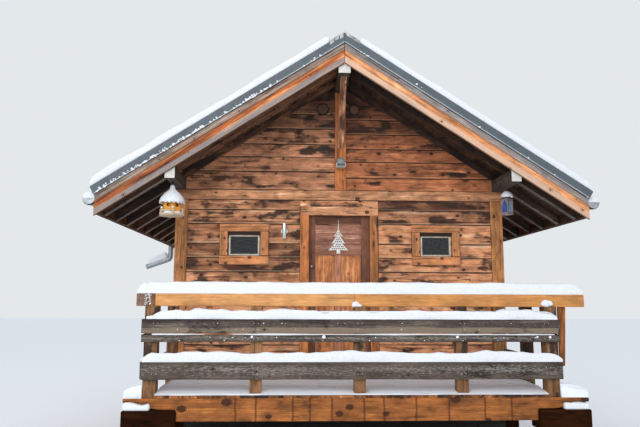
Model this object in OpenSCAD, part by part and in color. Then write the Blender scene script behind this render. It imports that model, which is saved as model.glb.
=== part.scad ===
// Small alpine chalet of timber on a masonry plinth, with a wide gable roof under snow
// and a raised deck with a plank railing in front.
// +Z is up, the front gable faces -Y, and z = 0 is the lowest ground that it stands on.
// Each module works from the front wall's outer face (y = 0) and the deck's top (z = 0).

/* [House] */
// Outside width of the house
house_w = 4350; // [3900:10:4800]
// Outside depth of the house
house_d = 3800; // [3200:10:4600]
// Height of the deck's top above the lowest ground
deck_z = 1100; // [800:10:1600]
// Side of the square corner posts
corner_w = 160; // [130:5:200]
// Thickness of the timber walls
wall_t = 100; // [80:5:130]
// How far the wall timbers stand back from the posts' faces
wall_back = 20; // [10:1:30]
// Height of the wall timbers below the windows
timber_h = 187; // [150:1:230]
// Width of the chamfers along the wall timbers' edges
timber_chamfer = 7; // [3:1:12]
// Thickness of the masonry plinth
plinth_t = 300; // [240:10:400]
// Height of the inside floor above the deck's top
floor_z = 20; // [0:5:60]
// Depth of the floor's boards and joists together
floor_t = 160; // [120:5:220]
// Height of the tie beams' underside above the deck's top
tie_z = 2250; // [2220:5:2300]
// Height of the tie beams and of the wall plates' seat above them
tie_h = 133; // [110:1:160]
// Width of the king posts and of the ridge purlin
king_w = 150; // [120:5:180]
// Width of the wall plates under the rafters
plate_w = 120; // [120:5:155]

/* [Roof] */
// Rise of the barge boards' lower edge at the ridge, above the tie beams
ridge_rise = 1473; // [1420:1:1620]
// Pitch of the roof in degrees
pitch = 33.07; // [31.5:0.01:34]
// Reach of the barge boards to each side of the ridge
roof_reach = 2987; // [2850:1:3200]
// Overhang in front of the front wall
front_over = 794; // [600:1:950]
// Overhang behind the back wall
rear_over = 600; // [400:5:800]
// Depth of the ridge purlin below the barge boards' apex
ridge_drop = 120; // [90:5:150]
// Reach of the knee braces out from the king posts
brace_reach = 560; // [400:10:600]
// Rise of the knee braces up to the ridge purlin
brace_rise = 680; // [560:10:740]
// Height of the rafters' underside above the barge boards' lower edge
rafter_lift = 20; // [10:1:40]
// Height of the rafters, measured plumb
rafter_h = 120; // [100:5:150]
// Width of the rafters
rafter_w = 80; // [60:5:100]
// Number of rafter pitches between the two gable walls
rafter_bays = 7; // [6:1:9]
// Plumb thickness of the roof boarding on the rafters
boarding_h = 32; // [24:1:40]
// Thickness of the barge boards
barge_t = 35; // [25:1:45]
// Plumb height of the upper verge boards
verge_h = 90; // [70:1:110]
// Thickness of the upper verge boards
verge_t = 25; // [18:1:30]
// Plumb height of the roof sheet's turned-down edge
edge_h = 109; // [80:1:125]
// Plumb thickness of the roof sheet
sheet_t = 12; // [8:1:16]
// How far the roof sheet stands past the boards at the eaves
sheet_over = 53; // [30:1:60]
// Reach of the ridge cap to each side
cap_reach = 190; // [150:5:240]
// Plumb depth of the snow on the roof
roof_snow_h = 115; // [60:5:200]
// Radius of the half-round gutters
gutter_r = 75; // [60:1:78]
// Thickness of the gutters' metal
gutter_t = 3; // [2:0.5:4]
// Radius of the spouts at the gutters' back ends
spout_r = 50; // [40:1:55]
// Length of the spouts' straight pipe
spout_len = 430; // [300:10:480]

/* [Door and windows] */
// Left side of the doorway from the house's centre line
door_left = -417; // [-450:1:-380]
// Clear width of the doorway
door_w = 801; // [740:1:840]
// Height of the doorway's head above the deck's top
door_top = 2048; // [1950:1:2080]
// Width of the door frame's side members
jamb_w = 118; // [90:1:130]
// Height of the door frame's lintel
lintel_h = 111; // [90:1:130]
// Thickness of the door leaf
leaf_t = 45; // [38:1:50]
// Running gap round the door leaf
door_gap = 8; // [6:0.5:10]
// Overlap of the door leaf on the frame's stops
door_lap = 18; // [14:1:24]
// Outside width of the window frames
window_w = 643; // [560:1:700]
// Outside height of the window frames
window_h = 538; // [480:1:600]
// Height of the window frames' lower edge above the deck's top
window_z = 1387; // [1300:1:1450]
// Width of the window frames' members
window_frame_w = 120; // [90:1:130]
// Distance of each window's middle from the house's centre line
window_x = 1269; // [1150:1:1400]
// Width of the sashes' members
sash_w = 22; // [18:1:35]

/* [Deck] */
// Depth of the deck from the wall to the front of its railing
deck_d = 1835; // [1500:5:2200]
// How far the railing's corner posts stand in from the house's sides
deck_in = 83; // [40:1:150]
// Thickness of the deck planks
plank_t = 30; // [24:1:40]
// Height of the front deck beam
beam_h = 220; // [180:5:260]
// Depth of the front deck beam from front to back
beam_d = 180; // [150:5:220]
// Length of the deck beam's ends past the corner posts
beam_end = 228; // [200:1:260]
// How far the front beam sits to the right of the house's middle
beam_shift = 50; // [0:5:60]
// Length of the thin tongues at the deck beam's ends
tongue_len = 170; // [140:1:200]
// Height of the thin tongues
tongue_h = 40; // [30:1:50]
// Height of the deck beam over its cap blocks
beam_seat_h = 110; // [90:1:130]
// Length of the cap blocks
cap_w = 520; // [440:5:580]
// Height of the cap blocks
cap_h = 200; // [160:5:240]
// How far the cap blocks stand in front of the deck beam
cap_proud = 50; // [30:1:70]
// Side of the square deck posts
deck_post_w = 200; // [160:5:240]
// Side of the inner deck posts
inner_post_w = 120; // [100:5:150]
// Height of the railing posts
rail_post_h = 867; // [800:1:950]
// Side of the railing's corner posts
rail_corner_w = 128; // [110:1:140]
// Side of the railing's other posts
rail_post_w = 115; // [90:1:125]
// Thickness of the railing's planks
rail_t = 32; // [28:1:50]
// Height of the handrail
handrail_h = 126; // [100:1:140]
// Width of the handrail
handrail_w = 112; // [95:1:125]
// How far the handrail stands back from the posts' front faces
handrail_back = 25; // [15:1:35]
// Depth of the snow on the railing
rail_snow_h = 120; // [60:5:150]
// Depth of the snow on the deck
deck_snow_h = 48; // [20:2:80]

/* [Hidden] */
$fn = 48;

// Timber colours as they weather on the house
new_larch = "#c98a4f";
old_larch = "#8a5a38";
dark_larch = "#4a3023";
grey_larch = "#7c7068";

// The house
half_w = house_w / 2;
wall_in = wall_back + wall_t;
plinth_top = floor_z - floor_t;
plate_z = tie_z + tie_h;
ridge_z = plate_z + ridge_rise;
plate_in = half_w - plate_w;
slope_joint = 0.1;

// Joints between the wall timbers, from the tie beams down to the plinth
timber_joint = 0.3;
upper_joints = [133, 322, 584, 770];
lower_h = tie_z - upper_joints[3] - plinth_top;
lower_count = floor(lower_h / timber_h - 0.3);
wall_joints = concat(
    [tie_z],
    [for (drop = upper_joints) tie_z - drop],
    [for (k = [1:lower_count]) tie_z - upper_joints[3] - k * timber_h],
    [plinth_top]
);
// Joints between the gable timbers above the tie beam, left and right of the king post
left_gable_joints = [0, 253, 453, 629, 845, 1047, 1247, 1500];
right_gable_joints = [0, 170, 392, 570, 772, 977, 1177, 1500];
// Wooden discs on the front gable: middle, height above the tie beam and radius
gable_discs = [[-240, 1117, 82], [191, 1110, 72]];
disc_t = 30;

// The roof's layers, plumb heights above the barge boards' lower edge
rafter_top = rafter_lift + rafter_h;
boarding_top = rafter_top + boarding_h;
sheet_low = boarding_top + verge_h + edge_h;
sheet_top = sheet_low + sheet_t;
ridge_joint = 2;
barge_front = -front_over;
barge_rear = house_d + rear_over;
eave_board_t = 30;
boards_reach = roof_reach - eave_board_t - 2;
roof_front = barge_front + barge_t;
roof_rear = barge_rear - barge_t;
sheet_edge_t = 10;
verge_back = 10;
rafter_y0 = wall_back + wall_t / 2;
rafter_pitch = (house_d - 2 * rafter_y0) / rafter_bays;
cap_t = 5;
ridge_under = ridge_z - ridge_drop;
brace_w = 80;
brace_foot = 110;
gutter_x = boards_reach + eave_board_t + gutter_r + 0.3;
gutter_drop = 116;
gutter_z = roof_z(roof_reach + sheet_over) + sheet_low - gutter_drop;
outlet_back = 150;
outlet_y = roof_rear - outlet_back;
outlet_h = 265;
spout_bend = 90;
spout_angle = 71;
pipe_joint = 0.3;

// The whole object's reach, which centres it on the origin
front_reach = deck_d + cap_proud;
rear_reach = barge_rear + sheet_edge_t;
wall_y = (front_reach - rear_reach) / 2;

// The door
door_right = door_left + door_w;
leaf_y = wall_in - leaf_t;
stop_y = leaf_y - 6;
leaf_x0 = door_left - door_lap + door_gap;
leaf_x1 = door_right + door_lap - door_gap;
leaf_z0 = floor_z + door_gap;
leaf_z1 = door_top + door_lap - door_gap;
hinge_r = 7;
hinge_pin_r = 4;
hinge_x = door_right + door_lap - door_gap / 2;
hinge_y = wall_in + hinge_r + 1;
hinge_len = 45;
hinge_heights = [260, 1780];
flap_t = 3;
flap_w = 42;
knob_back = 45;
knob_x = leaf_x0 + knob_back;
knob_z = 1370;
handle_r = 15;
handle_out = 38;

door_panels = [
    [[-337, 286], [1601, 1936]],
    [[-330, -72], [240, 1521]],
    [[8, 273], [240, 1521]]
];
panel_recess = 14;
panel_margin = 42;
panel_field = 8;

// Fir-tree ornament: each tier's half width and height at its foot and its top
tree_x = -25;
tree_z = 1542;
tree_t = 12;
tree_tiers = [[136, 52, 75, 135], [100, 135, 50, 226], [62, 225, 5, 313]];
tree_trunk = [36, 60];

// The windows
opening_w = window_w - 2 * window_frame_w;
opening_h = window_h - 2 * window_frame_w;
opening_z = window_z + window_frame_w;
window_frame_t = 28;
sash_d = 80;
glass_back = 35;
glass_t = 6;

// The deck and its railing
front_y = -deck_d;
post_y = front_y + rail_t;
deck_half = half_w - deck_in;
beam_top = -plank_t;
beam_half = deck_half + beam_end;
cap_in = beam_half - cap_w;
cap_y = front_y - cap_proud;
cap_d = beam_d + cap_proud + 30;
cap_top = beam_top - beam_seat_h;
scallop_w = 250;
scallop_x = beam_half - tongue_len - scallop_w;
plank_half = deck_half - rail_corner_w;
rail_post_x = [-980, 66, 1106];
left_post_y = -635;
right_post_y = -1080;
handrail_y = post_y + handrail_back;
handrail_start = 89;
handrail_end = 307;
left_handrail_out = 99;
left_handrail_in = 11;
handrail_x0 = -deck_half + handrail_start;
handrail_x1 = deck_half + handrail_end;
left_handrail_x0 = -deck_half - left_handrail_out;
left_handrail_x1 = -deck_half + left_handrail_in;
left_handrail_y1 = left_post_y + rail_post_w / 2;
right_handrail_y0 = handrail_y + handrail_w + 1;
middle_rail_start = 22;
bottom_rail_ends = [8, 28];
middle_rail_x0 = -deck_half + middle_rail_start;
bottom_rail_x = [-deck_half - bottom_rail_ends[0], deck_half + bottom_rail_ends[1]];
bottom_rail = [149, 318];
middle_rails = [[516, 585], [600, 739]];
bearer_d = 120;
bearer_h = 160;
bearer_y = -950;
inner_post_inset = 64;
inner_post_x = plank_half - inner_post_inset;
slat_w = 45;
slat_t = 22;
slat_step = 20;
slat_lean = 50;
slat_foot = 50;
tongue_snow_h = 140;
snow_inset = 5;
snow_back = 15;

// Fixtures on the front
lamp_x = -743;
lamp_z = 1827;
lamp_r = 28;
lamp_len = 200;
light_rise = 317;
light_size = [124, 55, 115];
light_z = plate_z + light_rise;
birdhouse_y = -550;
birdhouse_drop = 436;
birdhouse_turn = 46;
tray_r = 165;
tray_t = 20;
birdhouse_r = 117;
birdhouse_h = 157;
hood_r = 147;
hood_h = 155;
knob_r = 24;
knob_h = 58;
lantern_y = -300;
lantern_in = 34;
lantern_drop = 353;
lantern_turn = 32;
lantern_side = 108;
lantern_h = 165;

function roof_z(x) = ridge_z - abs(x) * tan(pitch);

// A block from its ranges in x, y and z
module block(x, y, z) {
    translate([x[0], y[0], z[0]])
        cube([x[1] - x[0], y[1] - y[0], z[1] - z[0]]);
}

// From the front wall's face and the deck's top to the ground's frame
module placed() {
    translate([0, wall_y, deck_z]) children();
}

// The same piece on both sides of the house
module both_sides() {
    children();
    mirror([1, 0, 0]) children();
}

// An outline in x and z, carried back from y[0] to y[1]
module along(y) {
    translate([0, y[1], 0])
        rotate([90, 0, 0])
            linear_extrude(y[1] - y[0]) children();
}

// One plumb-cut layer of the right roof slope
module slope(x, y, low, high) {
    along(y) polygon([
        [x[0], roof_z(x[0]) + low],
        [x[1], roof_z(x[1]) + low],
        [x[1], roof_z(x[1]) + high],
        [x[0], roof_z(x[0]) + high]
    ]);
}

module plinth() {
    color("#8f8a84") placed() difference() {
        block([-half_w, half_w], [0, house_d], [-deck_z, plinth_top]);
        block(
            [-half_w + plinth_t, half_w - plinth_t],
            [plinth_t, house_d - plinth_t],
            [-deck_z - 1, plinth_top + 1]
        );
    }
}

module house_floor() {
    color(old_larch) placed() difference() {
        block([-half_w + wall_in, half_w - wall_in], [wall_in, house_d - wall_in], [plinth_top, floor_z]);
        both_sides() for (y = [0, house_d - corner_w])
            block([half_w - corner_w, half_w], [y, y + corner_w], [plinth_top - 1, floor_z + 1]);
    }
}

// Section of a wall timber with chamfered edges
module timber_section(d, h) {
    c = timber_chamfer;
    polygon([[c, 0], [d - c, 0], [d, c], [d, h - c], [d - c, h], [c, h], [0, h - c], [0, c]]);
}

// Wall timbers along X from x[0] to x[1], laid between the joints' heights
module courses(x, y, joints) {
    for (k = [0:len(joints) - 2])
        translate([x[0], y[0], joints[k + 1]]) rotate([90, 0, 90]) linear_extrude(x[1] - x[0])
            timber_section(y[1] - y[0], joints[k] - joints[k + 1] - timber_joint);
}

// A front wall panel from x[0] to x[1] with a window opening round x = middle
module front_panel(x, middle) {
    difference() {
        courses(x, [wall_back, wall_in], wall_joints);
        block(
            [middle - opening_w / 2, middle + opening_w / 2],
            [0, wall_in + 1],
            [opening_z, opening_z + opening_h]
        );
    }
}

module front_wall_left() {
    color(old_larch) placed() front_panel([-half_w + corner_w, door_left - jamb_w], -window_x);
}

module front_wall_right() {
    color(old_larch) placed() front_panel([door_right + jamb_w, half_w - corner_w], window_x);
}

module front_wall_over_door() {
    color(old_larch) placed()
        courses(
            [door_left - jamb_w, door_right + jamb_w],
            [wall_back, wall_in],
            [tie_z, door_top + lintel_h]
        );
}

module side_walls() {
    color(old_larch) placed() both_sides() translate([half_w, 0, 0]) rotate([0, 0, 90])
        courses([corner_w, house_d - corner_w], [wall_back, wall_in], concat([plate_z], wall_joints));
}

module back_wall() {
    color(old_larch) placed()
        courses(
            [-half_w + corner_w, half_w - corner_w],
            [house_d - wall_in, house_d - wall_back],
            wall_joints
        );
}

// Gable timbers right of a king post, cut along the roof's slope
module gable_half(y, joints) {
    for (k = [0:len(joints) - 2]) intersection() {
        courses([king_w / 2, plate_in], y, [plate_z + joints[k + 1], plate_z + joints[k]]);
        along([y[0] - 1, y[1] + 1]) polygon([
            [king_w / 2 - 1, plate_z - 1],
            [plate_in + 1, plate_z - 1],
            [plate_in + 1, roof_z(plate_in + 1) + rafter_lift - slope_joint],
            [king_w / 2 - 1, roof_z(king_w / 2 - 1) + rafter_lift - slope_joint]
        ]);
    }
}

module front_gable() {
    color(old_larch) placed() {
        mirror([1, 0, 0]) gable_half([wall_back, wall_in], left_gable_joints);
        gable_half([wall_back, wall_in], right_gable_joints);
        for (disc = gable_discs)
            translate([disc[0], wall_back - timber_joint, plate_z + disc[1]])
                rotate([90, 0, 0]) cylinder(h = disc_t, r = disc[2]);
    }
}

module back_gable() {
    color(old_larch) placed() both_sides()
        gable_half([house_d - wall_in, house_d - wall_back], left_gable_joints);
}

module corner_posts() {
    color(old_larch) placed() both_sides()
        for (y = [0, house_d - corner_w])
            block([half_w - corner_w, half_w], [y, y + corner_w], [plinth_top, tie_z]);
}

module tie_beams() {
    color(old_larch) placed()
        for (y = [0, house_d - corner_w])
            block([-half_w, half_w], [y, y + corner_w], [tie_z, plate_z]);
}

module king_posts() {
    color(old_larch) placed()
        for (y = [0, house_d - wall_in])
            block([-king_w / 2, king_w / 2], [y, y + wall_in], [plate_z, ridge_under]);
}

// Knee brace from a king post out to the ridge purlin's underside
module ridge_brace(reach) {
    rise = reach * brace_rise / brace_reach;
    head = brace_foot * reach / rise;
    rotate([90, 0, 90]) translate([0, 0, -brace_w / 2]) linear_extrude(brace_w) polygon([
        [0, ridge_under - rise],
        [0, ridge_under - rise - brace_foot],
        [-reach - head, ridge_under],
        [-reach, ridge_under]
    ]);
}

module ridge_braces() {
    color(dark_larch) placed() {
        ridge_brace(brace_reach);
        translate([0, house_d, 0]) mirror([0, 1, 0]) ridge_brace(brace_reach - front_over + rear_over);
    }
}

module ridge_outline() {
    shoulder = roof_z(king_w / 2) + rafter_lift - slope_joint;
    polygon([
        [-king_w / 2, ridge_under],
        [king_w / 2, ridge_under],
        [king_w / 2, shoulder],
        [0, ridge_z + rafter_lift - slope_joint],
        [-king_w / 2, shoulder]
    ]);
}

module ridge_purlin() {
    color(grey_larch) placed() along([roof_front + cap_t, roof_rear - cap_t]) ridge_outline();
}

module plate_outline() {
    polygon([
        [plate_in, plate_z],
        [half_w, plate_z],
        [half_w, roof_z(half_w) + rafter_lift - slope_joint],
        [plate_in, roof_z(plate_in) + rafter_lift - slope_joint]
    ]);
}

module wall_plates() {
    color(grey_larch) placed() both_sides()
        along([roof_front + cap_t, roof_rear - cap_t]) plate_outline();
}

// Sheet metal caps on the ends of the purlins
module purlin_caps() {
    color("#dcdad4") placed()
        for (y = [roof_front, roof_rear - cap_t]) {
            both_sides() along([y, y + cap_t]) plate_outline();
            along([y, y + cap_t]) ridge_outline();
        }
}

// Rafter middles from front to back, one over each gable wall and one in each overhang
rafter_ys = [for (k = [-1:rafter_bays + 1]) rafter_y0 + k * rafter_pitch];

module rafters() {
    color(dark_larch) placed() both_sides()
        for (y = rafter_ys)
            slope(
                [ridge_joint, boards_reach],
                [y - rafter_w / 2, y + rafter_w / 2],
                rafter_lift,
                rafter_top
            );
}

// Blocks that close the gaps between the rafters on the wall plates
module rafter_blocks() {
    block_t = 40;
    color(dark_larch) placed() both_sides()
        for (k = [1:rafter_bays])
            slope(
                [half_w - wall_in, half_w - wall_in + block_t],
                [rafter_ys[k] + rafter_w / 2 + slope_joint, rafter_ys[k + 1] - rafter_w / 2 - slope_joint],
                rafter_lift,
                rafter_top - slope_joint
            );
}

// Boards that close the rafters' feet and carry the gutters
module eave_boards() {
    color(dark_larch) placed() both_sides()
        slope(
            [boards_reach, boards_reach + eave_board_t],
            [roof_front, roof_rear],
            rafter_lift,
            sheet_low - slope_joint
        );
}

module roof_boards() {
    color(dark_larch) placed() both_sides()
        slope([ridge_joint, boards_reach], [roof_front, roof_rear], rafter_top, boarding_top);
}

module barge_boards() {
    color(new_larch) placed() both_sides()
        for (y = [barge_front, roof_rear])
            slope([ridge_joint, roof_reach], [y, y + barge_t], 0, boarding_top);
}

module verge_boards() {
    color("#b09a8c") placed() both_sides()
        for (y = [roof_front - verge_t, roof_rear])
            slope([ridge_joint, roof_reach], [y, y + verge_t], boarding_top, sheet_low - edge_h);
}

// Counter battens and upper boarding between the boards and the sheet
module roof_battens() {
    color(dark_larch) placed() both_sides()
        slope([ridge_joint, boards_reach], [roof_front, roof_rear], boarding_top, sheet_low - slope_joint);
}

// Metal sheet on each slope, its edges turned down over the verges and trimmed at the eaves
module roof_sheets() {
    reach = roof_reach + sheet_over;
    edge_low = sheet_low - edge_h;
    color("#6d7479") placed() both_sides() {
        slope([ridge_joint, reach], [barge_front - sheet_edge_t, rear_reach], sheet_low, sheet_top);
        for (y = [barge_front - sheet_edge_t, barge_rear]) along([y, y + sheet_edge_t]) polygon([
            [ridge_joint, roof_z(ridge_joint) + edge_low],
            [roof_reach + 5, roof_z(roof_reach + 5) + edge_low],
            [reach, roof_z(reach) + sheet_low],
            [reach, roof_z(reach) + sheet_top],
            [ridge_joint, roof_z(ridge_joint) + sheet_top]
        ]);
    }
}

module ridge_cap() {
    high = 25;
    low = sheet_top + slope_joint;
    color("#4b4f50") placed() along([barge_front - sheet_edge_t, rear_reach]) polygon([
        [-cap_reach, roof_z(cap_reach) + low],
        [0, ridge_z + low],
        [cap_reach, roof_z(cap_reach) + low],
        [cap_reach, roof_z(cap_reach) + low + high],
        [0, ridge_z + low + high],
        [-cap_reach, roof_z(cap_reach) + low + high]
    ]);
}

// Half-round gutter on the right eave with closed ends and an outlet at the back
module gutter() {
    difference() {
        union() {
            translate([gutter_x, roof_rear, gutter_z]) rotate([90, 0, 0])
                linear_extrude(roof_rear - roof_front) difference() {
                    circle(r = gutter_r);
                    translate([-gutter_r - 1, 0]) square([2 * gutter_r + 2, gutter_r + 1]);
                }
            translate([gutter_x, outlet_y, gutter_z - gutter_r - outlet_h])
                cylinder(h = outlet_h + gutter_r / 2, r = spout_r);
        }
        translate([gutter_x, roof_rear - gutter_t, gutter_z]) rotate([90, 0, 0])
            cylinder(h = roof_rear - roof_front - 2 * gutter_t, r = gutter_r - gutter_t);
        translate([gutter_x, outlet_y, gutter_z - gutter_r - outlet_h - 1])
            cylinder(h = outlet_h + gutter_r, r = spout_r - gutter_t);
    }
}

module gutters() {
    color("#b9bec0") placed() both_sides() gutter();
}

// Section through a spout's wall
module spout_section() {
    difference() {
        circle(r = spout_r);
        circle(r = spout_r - gutter_t);
    }
}

// Spouts that throw the water clear of the house, each an elbow and a straight pipe
module gutter_spouts() {
    color("#b9bec0") placed() both_sides()
        translate([gutter_x + spout_bend, outlet_y, gutter_z - gutter_r - outlet_h]) {
            rotate([90, 0, 0]) rotate([0, 0, 180])
                rotate_extrude(angle = spout_angle) translate([spout_bend, 0]) spout_section();
            translate([-spout_bend * cos(spout_angle), 0, -spout_bend * sin(spout_angle)])
                rotate([0, 180 - spout_angle, 0]) translate([0, 0, pipe_joint])
                    linear_extrude(spout_len) spout_section();
        }
}

module roof_snow() {
    reach = roof_reach + sheet_over;
    low = sheet_top + slope_joint;
    round_r = 40;
    lip = 24;
    color("white") placed() both_sides()
        along([barge_front + snow_back, barge_rear - snow_back]) polygon([
            [cap_reach, roof_z(cap_reach) + low],
            [reach, roof_z(reach) + low],
            [reach + lip, roof_z(reach) + low + roof_snow_h * 0.4],
            [reach + lip / 2, roof_z(reach) + low + roof_snow_h * 0.75],
            [reach - round_r, roof_z(reach - round_r) + low + roof_snow_h],
            [cap_reach + round_r, roof_z(cap_reach + round_r) + low + roof_snow_h],
            [cap_reach, roof_z(cap_reach) + low + roof_snow_h * 0.5]
        ]);
}

module gutter_snow() {
    color("white") placed() both_sides()
        translate([gutter_x, roof_rear - gutter_t - 0.3, gutter_z]) rotate([90, 0, 0])
            cylinder(h = roof_rear - roof_front - 2 * gutter_t - 0.6, r = gutter_r - gutter_t - 0.3);
}

module door_frame() {
    color(old_larch) placed() difference() {
        block([door_left - jamb_w, door_right + jamb_w], [0, wall_in], [plinth_top, door_top + lintel_h]);
        block([door_left, door_right], [-1, wall_in + 1], [floor_z, door_top]);
        block(
            [door_left - door_lap, door_right + door_lap],
            [stop_y, wall_in + 1],
            [floor_z, door_top + door_lap]
        );
    }
}

module door_hinges() {
    color("#3d3a37") placed()
        for (z = hinge_heights) {
            translate([hinge_x, hinge_y, z]) cylinder(h = hinge_len, r = hinge_r);
            translate([hinge_x, hinge_y, z]) cylinder(h = 2 * hinge_len, r = hinge_pin_r);
            block([hinge_x, hinge_x + flap_w], [wall_in, wall_in + flap_t], [z, z + hinge_len]);
        }
}

// Door leaf with one wide panel over two tall ones, each with a raised field on both faces
module door_leaf() {
    inner = [panel_margin, -panel_margin];
    color("#8c4a34") placed() difference() {
        block([leaf_x0, leaf_x1], [leaf_y, wall_in], [leaf_z0, leaf_z1]);
        for (p = door_panels, y = [leaf_y - 1, wall_in - panel_recess]) difference() {
            block(p[0], [y, y + panel_recess + 1], p[1]);
            block(
                p[0] + inner,
                [leaf_y + panel_recess - panel_field, wall_in - panel_recess + panel_field],
                p[1] + inner
            );
        }
    }
}

module door_hardware() {
    color("#3d3a37") placed() {
        for (z = hinge_heights) difference() {
            union() {
                translate([hinge_x, hinge_y, z + hinge_len + 0.3])
                    cylinder(h = hinge_len - 0.3, r = hinge_r);
                block(
                    [hinge_x - flap_w, hinge_x],
                    [wall_in, wall_in + flap_t],
                    [z + hinge_len + 0.3, z + 2 * hinge_len]
                );
            }
            translate([hinge_x, hinge_y, z]) cylinder(h = 3 * hinge_len, r = hinge_pin_r + 0.3);
        }
        for (side = [-1, 1]) translate([knob_x, side < 0 ? leaf_y : wall_in, knob_z])
            rotate([side < 0 ? 90 : -90, 0, 0]) {
                cylinder(h = handle_r / 2, r = handle_r + 1);
                cylinder(h = handle_out, r = handle_r / 2);
                translate([0, 0, handle_out]) sphere(r = handle_r);
            }
    }
}

// Flat fir-tree ornament that hangs on the door
module door_ornament() {
    color("#d9cbb2") placed() translate([tree_x, leaf_y, tree_z]) rotate([90, 0, 0])
        linear_extrude(tree_t) union() {
            for (t = tree_tiers) polygon([[-t[0], t[1]], [t[0], t[1]], [t[2], t[3]], [-t[2], t[3]]]);
            translate([-tree_trunk[0] / 2, 0]) square(tree_trunk);
        }
}

module window_at(side) {
    translate([side * window_x, 0, 0]) children();
}

module window_frames() {
    color("#a8683c") placed()
        for (side = [-1, 1]) window_at(side) difference() {
            block(
                [-window_w / 2, window_w / 2],
                [wall_back - window_frame_t, wall_back],
                [window_z, window_z + window_h]
            );
            block(
                [-opening_w / 2, opening_w / 2],
                [wall_back - window_frame_t - 1, wall_back + 1],
                [opening_z, opening_z + opening_h]
            );
        }
}

module window_sashes() {
    color("#d8cdbb") placed()
        for (side = [-1, 1]) window_at(side) difference() {
            block(
                [-opening_w / 2, opening_w / 2],
                [wall_back, wall_back + sash_d],
                [opening_z, opening_z + opening_h]
            );
            block(
                [-opening_w / 2 + sash_w, opening_w / 2 - sash_w],
                [wall_back - 1, wall_in],
                [opening_z + sash_w, opening_z + opening_h - sash_w]
            );
        }
}

module window_glass() {
    color("#20282c") placed()
        for (side = [-1, 1]) window_at(side)
            block(
                [-opening_w / 2 + sash_w, opening_w / 2 - sash_w],
                [wall_back + glass_back, wall_back + glass_back + glass_t],
                [opening_z + sash_w, opening_z + opening_h - sash_w]
            );
}

// Cylinder lamp on a round plate beside the door
module wall_lamp() {
    plate_r = 42;
    arm = 62;
    cup = 40;
    glass_in = 3;
    color("#b7babc") placed() translate([lamp_x, wall_back, lamp_z]) {
        rotate([90, 0, 0]) cylinder(h = lamp_r / 2, r = plate_r);
        rotate([90, 0, 0]) cylinder(h = arm - lamp_r / 2, r = lamp_r / 2);
        translate([0, -arm, -lamp_len / 2]) difference() {
            cylinder(h = lamp_len, r = lamp_r);
            translate([0, 0, -1]) cylinder(h = cup, r = lamp_r - glass_in);
            translate([0, 0, lamp_len + 1 - cup]) cylinder(h = cup, r = lamp_r - glass_in);
        }
    }
}

// Small floodlight on the front king post
module gable_light() {
    arm_w = 50;
    arm_h = 40;
    arm_out = 60;
    tilt = 15;
    color("#d9dbda") placed() translate([0, 0, light_z]) {
        block([-arm_w / 2, arm_w / 2], [-arm_out, 0], [arm_h, 2 * arm_h]);
        translate([0, -arm_out / 2, 0]) rotate([tilt, 0, 0])
            block([-light_size[0] / 2, light_size[0] / 2], [-light_size[1], 0], [0, light_size[2]]);
    }
}

// Six-sided tray under the birdhouse, with a post on each corner and rails between them
module birdhouse_tray() {
    post_w = 20;
    post_h = 66;
    tray_rail_t = 10;
    tray_rail = [48, 66];
    reach = tray_r - post_w;
    cylinder(h = tray_t, r = tray_r, $fn = 6);
    for (k = [0:5]) rotate([0, 0, 60 * k]) translate([reach, 0, 0])
        block([-post_w / 2, post_w / 2], [-post_w / 2, post_w / 2], [tray_t - 1, tray_t + post_h]);
    // The side right of the front post stays open for the birds
    for (k = [0, 1, 2, 3, 5]) rotate([0, 0, 60 * k + 30]) translate([reach * cos(30), 0, 0])
        block([-tray_rail_t / 2, tray_rail_t / 2], [-reach / 2, reach / 2], tray_rail);
}

// Six-sided birdhouse with a round peaked roof, hung under the left wall plate
module birdhouse() {
    hole_r = 22;
    hole_z = 126;
    hanger_r = 10;
    hood_z = tray_t + birdhouse_h - 2;
    peak = hood_z + hood_h;
    color("#d79a3c") placed() translate([-half_w + plate_w / 2, birdhouse_y, plate_z - birdhouse_drop])
        rotate([0, 0, birdhouse_turn - 30]) {
            rotate([0, 0, 30]) birdhouse_tray();
            difference() {
                rotate([0, 0, 30]) translate([0, 0, tray_t - 1])
                    cylinder(h = birdhouse_h, r = birdhouse_r, $fn = 6);
                for (a = [-30, 30])
                    rotate([0, 0, a]) translate([0, -birdhouse_r * 0.6, hole_z]) rotate([90, 0, 0])
                        cylinder(h = birdhouse_r, r = hole_r);
            }
            rotate_extrude($fn = 24) polygon([
                [0, hood_z],
                [hood_r, hood_z],
                [hood_r * 0.85, hood_z + hood_h / 3],
                [knob_r * 1.5, peak],
                [knob_r, peak],
                [knob_r, peak + knob_h * 0.7],
                [hanger_r, peak + knob_h],
                [hanger_r, birdhouse_drop],
                [0, birdhouse_drop]
            ]);
        }
}

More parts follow.
